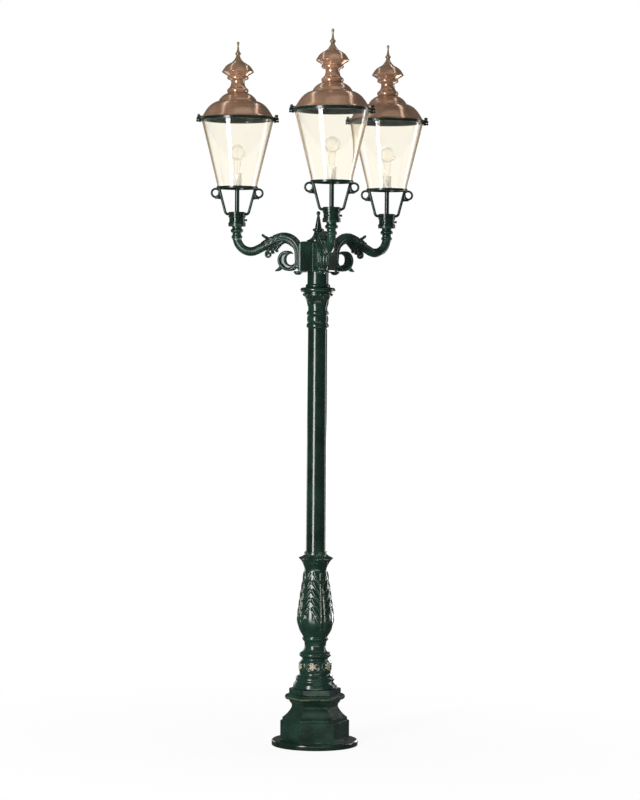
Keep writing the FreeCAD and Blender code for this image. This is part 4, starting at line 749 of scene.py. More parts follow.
@dataclass(frozen=True)
class Rib:
    """One long rib of the arm's leaf: its place round the bar in degrees, its stretch and its section."""

    around: float
    start: float
    end: float
    radius: float
    lift: float


@dataclass(frozen=True)
class Lobe:
    """One limb of a leaf or scroll: its line as distance and height, and the radii along it."""

    line: tuple[tuple[float, float], ...]
    radii: tuple[float, ...]

    def bar(self, across: float = 0.0, widen: float = 1.0, rounding: int = 5) -> bpy.types.Object:
        """Sweep it along the arm.

        Args:
            across: Distance beside the arm's middle plane.
            widen: How many times wider than thick it is.
            rounding: How finely its section is rounded.

        Returns:
            A closed mesh object.
        """
        return swept([(x, across, z) for x, z in self.line], self.radii, widen, rounding)


@dataclass
class ScrollArms:
    """Three cast arms: plate, leaf-clad hump, drooping leaf, crescent scroll with a pointed tail, and socket.

    One arm is modelled along +X and copied to each direction.
    """

    finish: bpy.types.Material
    hub_face: float = 0.068
    plate_thickness: float = 0.012
    plate_width: float = 0.074
    plate_low: float = 2.083
    plate_high: float = 2.211
    plate_ease: float = 0.0025
    drop_reach: float = 0.0146
    drop: tuple[tuple[float, float], ...] = (
        (0.0, -0.011), (0.008, -0.0105), (0.0142, -0.0077), (0.018, -0.004), (0.02, 0.0), (0.02, 0.004),
        (0.017, 0.006), (0.0, 0.006),
    )
    root: float = 0.092
    foot: float = 2.101
    hump_height: float = 2.164
    hump_radius: float = 0.072
    bend_x: float = 0.322
    bend_height: float = 2.244
    bend_radius: float = 0.068
    leave_degrees: float = 64.6
    reach: float = 0.39
    bar_length: float = 0.456
    bar_points: int = 46
    bar: tuple[tuple[float, float], ...] = (
        (0.0, 0.0165), (0.06, 0.0188), (0.12, 0.0205), (0.21, 0.0205), (0.3, 0.0202), (0.46, 0.0195),
    )
    ribs: tuple[Rib, ...] = (
        Rib(0.0, 0.006, 0.262, 0.0056, -0.0014), Rib(66.0, 0.0, 0.236, 0.011, -0.0072),
        Rib(-66.0, 0.0, 0.236, 0.011, -0.0072), Rib(118.0, 0.004, 0.268, 0.0064, -0.003),
        Rib(-118.0, 0.004, 0.268, 0.0064, -0.003), Rib(180.0, 0.1, 0.236, 0.011, -0.0068),
    )
    rib_points: int = 14
    rib_root: tuple[float, float] = (0.6, 0.2)
    rib_tip: tuple[float, float] = (0.35, 0.22)
    lobe_start: float = 0.156
    lobe_pitch: float = 0.025
    lobes: int = 4
    lobe_path: tuple[tuple[float, float], ...] = ((0.0, 14.0), (0.014, 36.0), (0.028, 62.0), (0.04, 92.0))
    lobe_radii: tuple[float, ...] = (0.0022, 0.0046, 0.0054, 0.0018)
    lobe_lift: float = 0.0022
    tips: tuple[tuple[float, float], ...] = ((26.0, 0.282), (62.0, 0.274))
    tip_path: tuple[float, ...] = (0.22, 0.24, 0.258)
    tip_lifts: tuple[float, ...] = (0.0006, 0.0006, 0.001, 0.0012)
    tip_radii: tuple[float, ...] = (0.0035, 0.0054, 0.0048, 0.0016)
    tip_widen: float = 1.4
    flick: Lobe = Lobe(
        ((0.226, 2.224), (0.243, 2.2345), (0.255, 2.2405), (0.2625, 2.2455), (0.2665, 2.2505),
         (0.2672, 2.253)),
        (0.009, 0.0074, 0.0062, 0.0062, 0.0054, 0.0028),
    )
    droops: tuple[Lobe, ...] = (
        Lobe(((0.158, 2.222), (0.182, 2.207), (0.21, 2.194), (0.236, 2.184)), (0.008, 0.0088, 0.008, 0.006)),
        Lobe(
            ((0.172, 2.228), (0.19, 2.209), (0.216, 2.194), (0.237, 2.181), (0.25, 2.168), (0.246, 2.1515),
             (0.2285, 2.152), (0.2265, 2.168), (0.2385, 2.17), (0.239, 2.161)),
            (0.006, 0.0066, 0.0066, 0.0064, 0.0056, 0.0054, 0.005, 0.0044, 0.004, 0.0036),
        ),
        Lobe(
            ((0.17, 2.224), (0.186, 2.206), (0.204, 2.193), (0.217, 2.18), (0.219, 2.1685), (0.21, 2.171)),
            (0.006, 0.0066, 0.0068, 0.0066, 0.0064, 0.0046),
        ),
        Lobe(
            ((0.165, 2.222), (0.178, 2.205), (0.19, 2.194), (0.199, 2.183), (0.198, 2.1745), (0.191, 2.179)),
            (0.006, 0.0066, 0.0066, 0.0062, 0.0058, 0.0042),
        ),
    )
    droop_widen: float = 2.0
    droop_rounding: int = 7
    scroll_middle: tuple[float, float, float] = (0.128, 0.0, 2.139)
    crescent: tuple[tuple[float, float, float], ...] = (
        (-158.0, 0.0225, 0.041), (-125.0, 0.0232, 0.046), (-92.0, 0.0235, 0.0505), (-60.0, 0.0235, 0.0555),
        (-30.0, 0.023, 0.061), (0.0, 0.0228, 0.0628), (28.0, 0.0235, 0.0585), (54.0, 0.0245, 0.0495),
        (78.0, 0.0255, 0.0395), (96.0, 0.026, 0.0325), (110.0, 0.0255, 0.0285),
    )
    web_share: float = 0.42
    web_rounding: int = 9
    rim_radius: float = 0.0072
    rim_share: float = 0.42
    rim_fade: tuple[float, float] = (3.0, 0.9)
    rim_close: float = 0.2
    rim_offset: float = 0.0125
    tail: Lobe = Lobe(
        ((0.163, 2.117), (0.175, 2.105), (0.188, 2.0945), (0.204, 2.0905)), (0.0105, 0.0098, 0.0078, 0.0026)
    )
    knot: Lobe = Lobe(
        ((0.086, 2.128), (0.094, 2.116), (0.106, 2.106), (0.117, 2.104)), (0.004, 0.0062, 0.0056, 0.0022)
    )
    knot_places: tuple[float, ...] = (-0.011, 0.0, 0.011)
    socket_side: Turning = Turning(19.5, 2228.0, (
        Band(4.0, 19.5), Band(18.0, 19.5, 5.0), Band(7.0, 19.5), Band(22.0, 21.0, 8.0), Band(8.0, 22.0),
        Band(1.0, 38.5), Band(8.0, 38.5),
    ))
    grain: float = 1.3 * MM
    rounds: int = 2

    def station(self, along: float) -> tuple[Vector, Vector]:
        """Find a point of the arm's centre line.

        Args:
            along: Distance from the foot of the arm.

        Returns:
            The point, and the direction of the arm's back there.
        """
        hump = Vector((self.root + self.hump_radius, 0.0, self.hump_height))
        bend = Vector((self.bend_x, 0.0, self.bend_height))
        leave = math.radians(self.leave_degrees)
        upright = self.hump_height - self.foot
        over = (math.pi - leave) * self.hump_radius
        back = Vector((math.cos(leave), 0.0, math.sin(leave)))
        slope_start = hump + back * self.hump_radius
        slope_end = bend - back * self.bend_radius
        slope = (slope_end - slope_start).length
        if along <= upright:
            return Vector((self.root, 0.0, self.foot + along)), Vector((-1.0, 0.0, 0.0))
        along -= upright
        if along <= over:
            angle = math.pi - along / self.hump_radius
            outward = Vector((math.cos(angle), 0.0, math.sin(angle)))
            return hump + outward * self.hump_radius, outward
        along -= over
        if along <= slope:
            return slope_start.lerp(slope_end, along / slope), back
        along -= slope
        angle = min(math.pi + leave + along / self.bend_radius, 2.0 * math.pi)
        outward = Vector((math.cos(angle), 0.0, math.sin(angle)))
        return bend + outward * self.bend_radius, -outward

    def thickness(self, along: float) -> float:
        """Radius of the bar at a distance from its foot."""
        for (low, low_radius), (high, high_radius) in zip(self.bar, self.bar[1:]):
            if along <= high:
                return low_radius + (high_radius - low_radius) * (along - low) / (high - low)
        return self.bar[-1][1]

    def on_bar(self, along: float, around: float, lift: float) -> Vector:
        """Find a point on the skin of the bar.

        Args:
            along: Distance from the foot of the arm.
            around: Degrees from its back towards +Y.
            lift: Height above the skin.

        Returns:
            The point.
        """
        point, back = self.station(along)
        turn = math.radians(around)
        out = back * math.cos(turn) + Vector((0.0, math.sin(turn), 0.0))
        return point + out * (self.thickness(along) + lift)

    def limb(self) -> bpy.types.Object:
        """Sweep the bar itself."""
        places = [self.bar_length * index / (self.bar_points - 1) for index in range(self.bar_points)]
        line = [self.station(place)[0] for place in places]
        return swept(line, [self.thickness(place) for place in places])

    def sheath(self) -> list[bpy.types.Object]:
        """Leaf wrapped over the hump: long ribs, slanting lobes, free tips at its end and a flicked tip."""
        pieces = []
        last = self.rib_points - 1
        for rib in self.ribs:
            line, radii = [], []
            for index in range(self.rib_points):
                root = self.rib_root[0] + self.rib_root[1] * index
                tip = self.rib_tip[0] + self.rib_tip[1] * (last - index)
                place = rib.start + (rib.end - rib.start) * index / last
                line.append(self.on_bar(place, rib.around, rib.lift))
                radii.append(rib.radius * min(1.0, root, tip))
            pieces.append(swept(line, radii))
        for side in (-1.0, 1.0):
            for lobe in range(self.lobes):
                start = self.lobe_start + self.lobe_pitch * lobe
                line = [
                    self.on_bar(start + far, side * around, self.lobe_lift) for far, around in self.lobe_path
                ]
                pieces.append(swept(line, self.lobe_radii))
            for around, end in self.tips:
                places = zip(self.tip_path + (end,), self.tip_lifts)
                line = [self.on_bar(place, side * around, lift) for place, lift in places]
                pieces.append(swept(line, self.tip_radii))
        return pieces + [self.flick.bar(widen=self.tip_widen)]

    def droop(self) -> list[bpy.types.Object]:
        """Leaf that hangs under the hump, its lobes rolled back at their tips."""
        return [lobe.bar(widen=self.droop_widen, rounding=self.droop_rounding) for lobe in self.droops]

    def scroll(self) -> list[bpy.types.Object]:
        """Crescent scroll: a thin web, the heavy rolled rim, the pointed tail and the knot at the root."""
        middle = Vector(self.scroll_middle)
        web, web_radii, rim, rim_radii = [], [], [], []
        for angle, inner, outer in self.crescent:
            turn = math.radians(angle)
            out = Vector((math.cos(turn), 0.0, math.sin(turn)))
            thick = min(self.rim_radius, self.rim_share * (outer - inner))
            web.append(middle + out * (inner + outer) / 2.0)
            web_radii.append((outer - inner) / 2.0)
            rim.append(middle + out * (outer - thick))
            rim_radii.append(thick)
        pieces = [swept(web, web_radii, self.web_share, self.web_rounding)]
        steep, late = self.rim_fade
        shares = [min(1.0, steep * radius / self.rim_radius - late) for radius in rim_radii]
        for across in (-1.0, 0.0, 1.0):
            offset = Vector((0.0, across * self.rim_offset, 0.0))
            line = [point + offset * max(self.rim_close, share) for point, share in zip(rim, shares)]
            pieces.append(swept(line, rim_radii))
        pieces.append(self.tail.bar(widen=self.tip_widen))
        return pieces + [self.knot.bar(across) for across in self.knot_places]

    def plate(self) -> list[bpy.types.Object]:
        """Bolted plate with eased edges, and the drop below it."""
        half, face = self.plate_width / 2.0, self.hub_face + self.plate_thickness
        plate = block((self.hub_face, -half, self.plate_low), (face, half, self.plate_high), self.plate_ease)
        return [plate, placed(turned(self.drop), face + self.drop_reach, 0.0, self.plate_low)]

    def socket(self) -> bpy.types.Object:
        """Turned socket at the end of the arm, up to the disc that the lantern stands on."""
        side = self.socket_side.outline()
        return placed(turned([(0.0, side[0][1])] + side + [(0.0, side[-1][1])]), self.reach)

    def build(self) -> None:
        """Model one arm, then copy it to the three directions."""
        skin = cast([self.limb()] + self.sheath() + self.droop() + self.scroll(), self.grain, self.rounds)
        arm = joined([skin] + self.plate() + [self.socket()])
        for name in LANTERNS:
            middle = centre_of("lamp_holder_" + name)
            piece = placed(copied(arm), turn=math.degrees(math.atan2(middle.y, middle.x)))
            finished(piece, "scroll_arm_" + name, self.finish)
            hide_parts("arm_" + name)
        bpy.data.objects.remove(arm, do_unlink=True)


@dataclass
class LeafedPedestal:
    """Pedestal casting: a turned waist with flowers and tendrils on its drum, a vase clasped by acanthus
    leaves, and a calyx whose lip opens into petals.

    One leaf and one flower are modelled at the front of +X and copied round the post.
    """

    finish: bpy.types.Material
    gilt: bpy.types.Material
    facets: int = 144
    grain: float = 2.3 * MM
    rounds: int = 2
    petals: int = 6
    petal_turn: float = -70.0
    petal_reach: float = 0.011
    petal_draw: float = 0.0085
    petal_lift: float = 0.006
    petal_sink: float = 0.003
    leaves: int = 4
    leaf_turn: float = -67.0
    flowers: int = 6
    flower_turn: float = -101.0
    stroke_rounding: int = 3
    rib_apart: float = 0.0105
    rib_closing: float = 0.0078
    rib_lift: float = 0.0022
    rib_radii: tuple[float, ...] = (0.0024,) + (0.0034,) * 6 + (0.003, 0.0016)
    lobe_line: tuple[tuple[float, float], ...] = (
        (0.0, 9.0), (0.01, 17.0), (0.025, 29.0), (0.042, 40.0), (0.054, 45.0), (0.056, 51.0), (0.044, 54.0),
    )
    lobe_radii: tuple[float, ...] = (0.003, 0.0054, 0.0074, 0.0078, 0.0062, 0.005, 0.0032)
    lobe_lift: float = -0.0016
    lobe_foot: float = 0.004
    lobe_pitch: float = 0.0385
    lobe_spread: tuple[float, ...] = (0.72, 0.95, 1.0, 0.92, 0.78, 0.6)
    leaf_low: float = 0.512
    leaf_high: float = 0.762
    flower_height: float = 0.352
    flower_grain: float = 1.0 * MM
    flower_rounds: int = 1
    flower_petals: int = 6
    flower_tilt: float = 30.0
    flower_line: tuple[float, ...] = (0.003, 0.008, 0.0135, 0.0175)
    flower_radii: tuple[float, ...] = (0.0026, 0.0042, 0.0048, 0.0018)
    flower_lifts: tuple[float, ...] = (0.0022, 0.0036, 0.0032, 0.0012)
    heart_radii: tuple[float, ...] = (0.0052, 0.0052, 0.002)
    heart_lifts: tuple[float, ...] = (0.0, 0.004, 0.0075)
    drop_line: tuple[float, ...] = (-0.014, -0.022, -0.033)
    drop_radii: tuple[float, ...] = (0.0028, 0.0042, 0.0014)
    drop_lift: float = 0.0005
    curl: tuple[tuple[float, float], ...] = (
        (-0.014, 0.005), (-0.023, 0.014), (-0.019, 0.025), (-0.004, 0.0305), (0.01, 0.0265), (0.0125, 0.019),
        (0.0065, 0.0155), (0.001, 0.019), (0.003, 0.0225),
    )
    curl_radii: tuple[float, ...] = (0.002, 0.003, 0.0034, 0.0034, 0.003, 0.0028, 0.0026, 0.0026, 0.0034)
    curl_lift: float = 0.0008
    bead_radii: tuple[float, ...] = (0.0042, 0.0042, 0.0015)
    bead_lifts: tuple[float, ...] = (-0.002, 0.001, 0.004)
    lip_low: float = 0.806
    lip_high: float = 0.846
    lip_width: float = 0.025
    neck_radius: float = 0.05
    socket_radius: float = 0.0454
    socket_floor: float = 0.795
    spigot_radius: float = 0.068
    base: float = 0.251
    side: Turning = Turning(97.0, 251.0, (
        Band(5.0, 97.0), Band(14.0, 95.5), Band(16.0, 83.0), Band(17.0, 80.5, 4.0), Band(13.0, 68.5, -3.0),
        Band(44.0, 68.0, 0.6), Band(18.0, 57.5, 3.4), Band(7.0, 57.5), Band(28.0, 57.5, 13.5),
        Band(31.0, 47.5, -3.5), Band(14.0, 49.0), Band(22.0, 54.0, 6.5), Band(52.0, 76.0, 4.5),
        Band(53.0, 75.5, 1.9), Band(115.0, 59.5, 0.4), Band(67.0, 50.0, -1.0), Band(48.0, 66.0, -4.5),
        Band(7.0, 75.0), Band(3.0, 75.0), Band(17.0, 50.0, -3.0), Band(13.0, 49.5),
    ))

    def on_side(self, height: float, across: float, lift: float) -> Vector:
        """Find a point on the turned side.

        Args:
            height: Height above the ground.
            across: Distance round the side from +X.
            lift: Height above the skin.

        Returns:
            The point.
        """
        radius = self.side.radius_at(height)
        angle = across / radius
        return Vector((math.cos(angle), math.sin(angle), 0.0)) * (radius + lift) + Vector((0.0, 0.0, height))

    def stroke(
        self, places: Sequence[tuple[float, float]], radii: Sequence[float], lifts: Sequence[float] | float
    ) -> bpy.types.Object:
        """Raise one modelled stroke on the side.

        Args:
            places: Height and distance across of each point.
            radii: Radius at each point.
            lifts: Height of each point above the skin, or one height for all.

        Returns:
            The stroke as a closed mesh.
        """
        heights = [lifts] * len(places) if isinstance(lifts, float) else lifts
        points = [self.on_side(height, across, lift) for (height, across), lift in zip(places, heights)]
        return swept(points, radii, rounding=self.stroke_rounding)

    def body(self) -> bpy.types.Object:
        """Turn the body and open its lip into petals."""
        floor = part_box("pedestal")[0][2]
        outline = [(0.0, floor), (self.spigot_radius, floor), (self.spigot_radius, self.base)]
        outline += self.side.outline()
        top = outline[-1][1]
        outline += [
            (self.socket_radius, top), (self.socket_radius, self.socket_floor), (0.0, self.socket_floor),
        ]
        piece = turned(outline, self.facets)
        for vertex in piece.data.vertices:
            reach = math.hypot(vertex.co.x, vertex.co.y)
            if reach > self.neck_radius and self.lip_low < vertex.co.z < self.lip_high:
                angle = math.atan2(vertex.co.y, vertex.co.x) - math.radians(self.petal_turn)
                point = 1.0 - abs(math.sin(self.petals * angle / 2.0))
                share = min(1.0, (reach - self.neck_radius) / self.lip_width)
                grown = reach + share * (self.petal_reach * point - self.petal_draw)
                vertex.co.x *= grown / reach
                vertex.co.y *= grown / reach
                vertex.co.z += share * (self.petal_lift * point - self.petal_sink)
        return piece

    def leaf(self) -> list[bpy.types.Object]:
        """Model one acanthus leaf: a double rib that closes upwards, and lobes that roll back."""
        pieces = []
        last = len(self.rib_radii) - 1
        for side in (-1.0, 1.0):
            rib = []
            for index in range(last + 1):
                share = index / last
                height = self.leaf_low + (self.leaf_high - self.leaf_low) * share
                rib.append((height, side * (self.rib_apart - self.rib_closing * share)))
            pieces.append(self.stroke(rib, self.rib_radii, self.rib_lift))
            for number, wide in enumerate(self.lobe_spread):
                foot = self.leaf_low + self.lobe_foot + self.lobe_pitch * number
                places = [(foot + rise, side * wide * across * MM) for rise, across in self.lobe_line]
                pieces.append(self.stroke(places, self.lobe_radii, self.lobe_lift))
        return pieces

    def bead(self) -> list[bpy.types.Object]:
        """Model the bead between two petals of the lip."""
        return [self.stroke([(self.lip_low, 0.0)] * len(self.bead_lifts), self.bead_radii, self.bead_lifts)]

    def flower(self) -> list[bpy.types.Object]:
        """Model one flower of the drum: its petals round a heart."""
        pieces = []
        middle = self.flower_height
        for number in range(self.flower_petals):
            turn = math.radians(360.0 / self.flower_petals * number + self.flower_tilt)
            places = [(middle + far * math.sin(turn), far * math.cos(turn)) for far in self.flower_line]
            pieces.append(self.stroke(places, self.flower_radii, self.flower_lifts))
        heart = [(middle, 0.0)] * len(self.heart_lifts)
        return pieces + [self.stroke(heart, self.heart_radii, self.heart_lifts)]

    def tendrils(self) -> list[bpy.types.Object]:
        """Model the drop below a flower and the two tendrils that curl beside it."""
        middle = self.flower_height
        drop = [(middle + rise, 0.0) for rise in self.drop_line]
        pieces = [self.stroke(drop, self.drop_radii, self.drop_lift)]
        for side in (-1.0, 1.0):
            places = [(middle + rise, side * across) for rise, across in self.curl]
            pieces.append(self.stroke(places, self.curl_radii, self.curl_lift))
        return pieces

    @staticmethod
    def ringed(pieces: list[bpy.types.Object], start: float, count: int) -> list[bpy.types.Object]:
        """Copy an ornament round the post.

        Args:
            pieces: Strokes of the ornament.
            start: Direction of the first copy in degrees.
            count: How many there are round the post.

        Returns:
            All copies.
        """
        pattern = joined(pieces)
        copies = [placed(copied(pattern), turn=start + 360.0 * index / count) for index in range(1, count)]
        return [placed(pattern, turn=start)] + copies

    def build(self) -> None:
        """Fuse the body with its ornament, and add the gilt flowers."""
        ornament = self.ringed(self.leaf(), self.leaf_turn, self.leaves)
        ornament += self.ringed(self.tendrils(), self.flower_turn, self.flowers)
        ornament += self.ringed(self.bead(), self.petal_turn + 180.0 / self.petals, self.petals)
        piece = cast([self.body()] + ornament, self.grain, self.rounds)
        finished(piece, "leafed_pedestal", self.finish)
        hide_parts("pedestal")
        blooms = self.ringed(self.flower(), self.flower_turn, self.flowers)
        flowers = cast(blooms, self.flower_grain, self.flower_rounds)
        finished(flowers, "drum_flowers", self.gilt)


@dataclass
class Lamps:
    """Clear round lamps: a blown bulb on a threaded cap, with its glass mount and a wire cage inside.

    One lamp is modelled at the origin and copied into each lantern.
    """

    glass: bpy.types.Material
    metal: bpy.types.Material
    wall: float = 0.0009
    cap_radius: float = 0.0126
    cap_height: float = 0.026
    thread_depth: float = 0.0009
    threads: int = 5
    cap_tip: tuple[tuple[float, float], ...] = ((0.0, 0.0), (0.005, 0.0), (0.0065, 0.002))
    cap_foot: float = 0.0045
    cap_draw: float = 0.0015
    cap_rim: float = 0.002
    thread_foot: float = 0.006
    thread_crest: tuple[float, float] = (0.35, 0.65)
    neck_radius: float = 0.0138
    neck_seat: float = 0.0012
    neck_shares: tuple[float, ...] = (0.25, 0.5, 0.75)
    neck_flare: float = 1.7
    neck_swell: float = 0.6
    shoulder_degrees: float = -58.0
    bulb_steps: int = 22
    bulb_facets: int = 64
    stem: tuple[tuple[float, float], ...] = ((0.0, 0.0), (0.0085, 0.0), (0.005, 0.012), (0.0026, 0.022))
    stem_tip: tuple[tuple[float, float], ...] = ((0.0022, 0.006), (0.0, 0.008))
    stem_facets: int = 24
    wires: int = 6
    wire_radius: float = 0.0003
    wire_rounding: int = 1
    spoke_tip: float = 0.0002
    cage_radius: float = 0.0125
    cage_low: float = 0.017
    cage_high: float = 0.019
    spoke_low: float = 0.012
    spoke_high: float = 0.005

    def bulb(self, height: float, radius: float) -> bpy.types.Object:
        """Blow the bulb as a thin shell.

        Args:
            height: Height of the whole lamp.
            radius: Radius of the bulb.

        Returns:
            The shell.
        """
        middle = height - radius
        outer = [(self.neck_radius, self.cap_height)]
        first = math.radians(self.shoulder_degrees)
        touch = (radius * math.cos(first), middle + radius * math.sin(first))
        for share in self.neck_shares:
            swell = share * share * (3.0 - 2.0 * share)
            rise = (1.0 - self.neck_swell) * share + self.neck_swell * swell
            outer.append((
                self.neck_radius + (touch[0] - self.neck_radius) * share ** self.neck_flare,
                self.cap_height + (touch[1] - self.cap_height) * rise,
            ))
        for step in range(self.bulb_steps + 1):
            angle = first + (math.pi / 2.0 - first) * step / self.bulb_steps
            outer.append((max(0.0, radius * math.cos(angle)), middle + radius * math.sin(angle)))
        outer[-1] = (0.0, height)
        inner = [
            (max(0.0, reach - self.wall), level if reach > 0.0 else level - self.wall)
            for reach, level in outer
        ]
        inner[-2] = (inner[-2][0], inner[-2][1] - self.wall)
        return turned(outer + inner[::-1] + [outer[0]], self.bulb_facets)

    def cap(self) -> bpy.types.Object:
        """Turn the threaded cap."""
        crest, root, top = self.cap_radius, self.cap_radius - self.thread_depth, self.cap_height
        seat = self.neck_radius - self.neck_seat
        outline = list(self.cap_tip) + [(crest - self.cap_draw, self.cap_foot)]
        pitch = (top - self.cap_rim - self.thread_foot) / self.threads
        for thread in range(self.threads):
            foot = self.thread_foot + pitch * thread
            outline.append((root, foot))
            outline += [(crest, foot + share * pitch) for share in self.thread_crest]
        outline += [
            (root, top - self.cap_rim), (seat, top), (seat, top + self.cap_rim), (0.0, top + self.cap_rim),
        ]
        return turned(outline)

    def mount(self, height: float, radius: float) -> bpy.types.Object:
        """Model the mount, its spokes and the wire cage between them.

        Args:
            height: Height of the whole lamp.
            radius: Radius of the bulb.

        Returns:
            The mount.
        """
        middle = height - radius
        outline = [(reach, self.cap_height + rise) for reach, rise in self.stem]
        outline += [(reach, middle + rise) for reach, rise in self.stem_tip]
        pieces = [turned(outline, self.stem_facets)]
        low, high, spread = middle - self.cage_low, middle + self.cage_high, self.cage_radius
        cage = []
        for number in range(self.wires * 2 + 1):
            angle = math.pi * number / self.wires
            level = high if number % 2 else low
            cage.append((spread * math.cos(angle), spread * math.sin(angle), level))
            if number < self.wires * 2:
                hub = middle + self.spoke_high if number % 2 else middle - self.spoke_low
                spoke = [(0.0, 0.0, hub), cage[-1]]
                pieces.append(swept(spoke, [self.wire_radius, self.spoke_tip], rounding=self.wire_rounding))
        for start, end in zip(cage, cage[1:]):
            pieces.append(swept([start, end], [self.wire_radius] * 2, rounding=self.wire_rounding))
        return joined(pieces)

    def build(self) -> None:
        """Model one lamp and put a copy into each lantern."""
        low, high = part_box("bulb_" + LANTERNS[0])
        height, radius = high[2] - low[2], (high[0] - low[0]) / 2.0
        patterns = (
            ("lamp_bulb_", self.bulb(height, radius), self.glass, "lamp_glass"),
            ("lamp_cap_", self.cap(), self.metal, "steel"),
            ("lamp_mount_", self.mount(height, radius), self.glass, "lamp_glass"),
        )
        for name in LANTERNS:
            middle = centre_of("bulb_" + name)
            for title, pattern, finish, slot in patterns:
                piece = placed(copied(pattern), middle.x, middle.y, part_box("bulb_" + name)[0][2])
                finished(piece, title + name, finish)
                if pattern is patterns[0][1]:
                    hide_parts("bulb_" + name)
        for _, pattern, _, _ in patterns:
            bpy.data.objects.remove(pattern, do_unlink=True)


@dataclass
class CradleTrim:
    """Rings round each lantern's sleeve and the small leaf that ties each loop to its bar.

    The trim is modelled once at the origin, with heights above the lantern's seat, and copied.
    """

    finish: bpy.types.Material
    seat: float = 2.296
    sleeve: float = 0.033
    ring_ease: float = 0.0012
    ring_facets: int = 64
    rings: tuple[tuple[float, float, float], ...] = (
        (0.0045, 0.0392, 0.004), (0.0355, 0.0388, 0.0034), (0.0505, 0.0392, 0.0042),
    )
    leaf: tuple[tuple[float, float, float], ...] = (
        (0.07, 0.1165, 0.0058), (0.08, 0.1195, 0.0068), (0.09, 0.1185, 0.0052), (0.0975, 0.1145, 0.0024),
    )
    stem: tuple[tuple[float, float, float], ...] = (
        (0.079, 0.145, 0.0052), (0.0805, 0.132, 0.0066), (0.082, 0.12, 0.006),
    )

    def build(self) -> None:
        """Model the trim and put a copy on each lantern."""
        pieces = []
        for height, radius, half in self.rings:
            low, high, eased = height - half, height + half, radius - self.ring_ease
            pieces.append(turned([
                (self.sleeve, low), (eased, low), (radius, height), (eased, high), (self.sleeve, high),
                (self.sleeve, low),
            ], self.ring_facets))
        for side in (-1.0, 1.0):
            for line in (self.leaf, self.stem):
                points = [(side * x, 0.0, z) for x, z, _ in line]
                pieces.append(swept(points, [radius for _, _, radius in line]))
        pattern = joined(pieces)
        for name in LANTERNS:
            middle = centre_of("lamp_holder_" + name)
            piece = placed(copied(pattern), middle.x, middle.y, self.seat)
            finished(piece, "cradle_trim_" + name, self.finish)
        bpy.data.objects.remove(pattern, do_unlink=True)


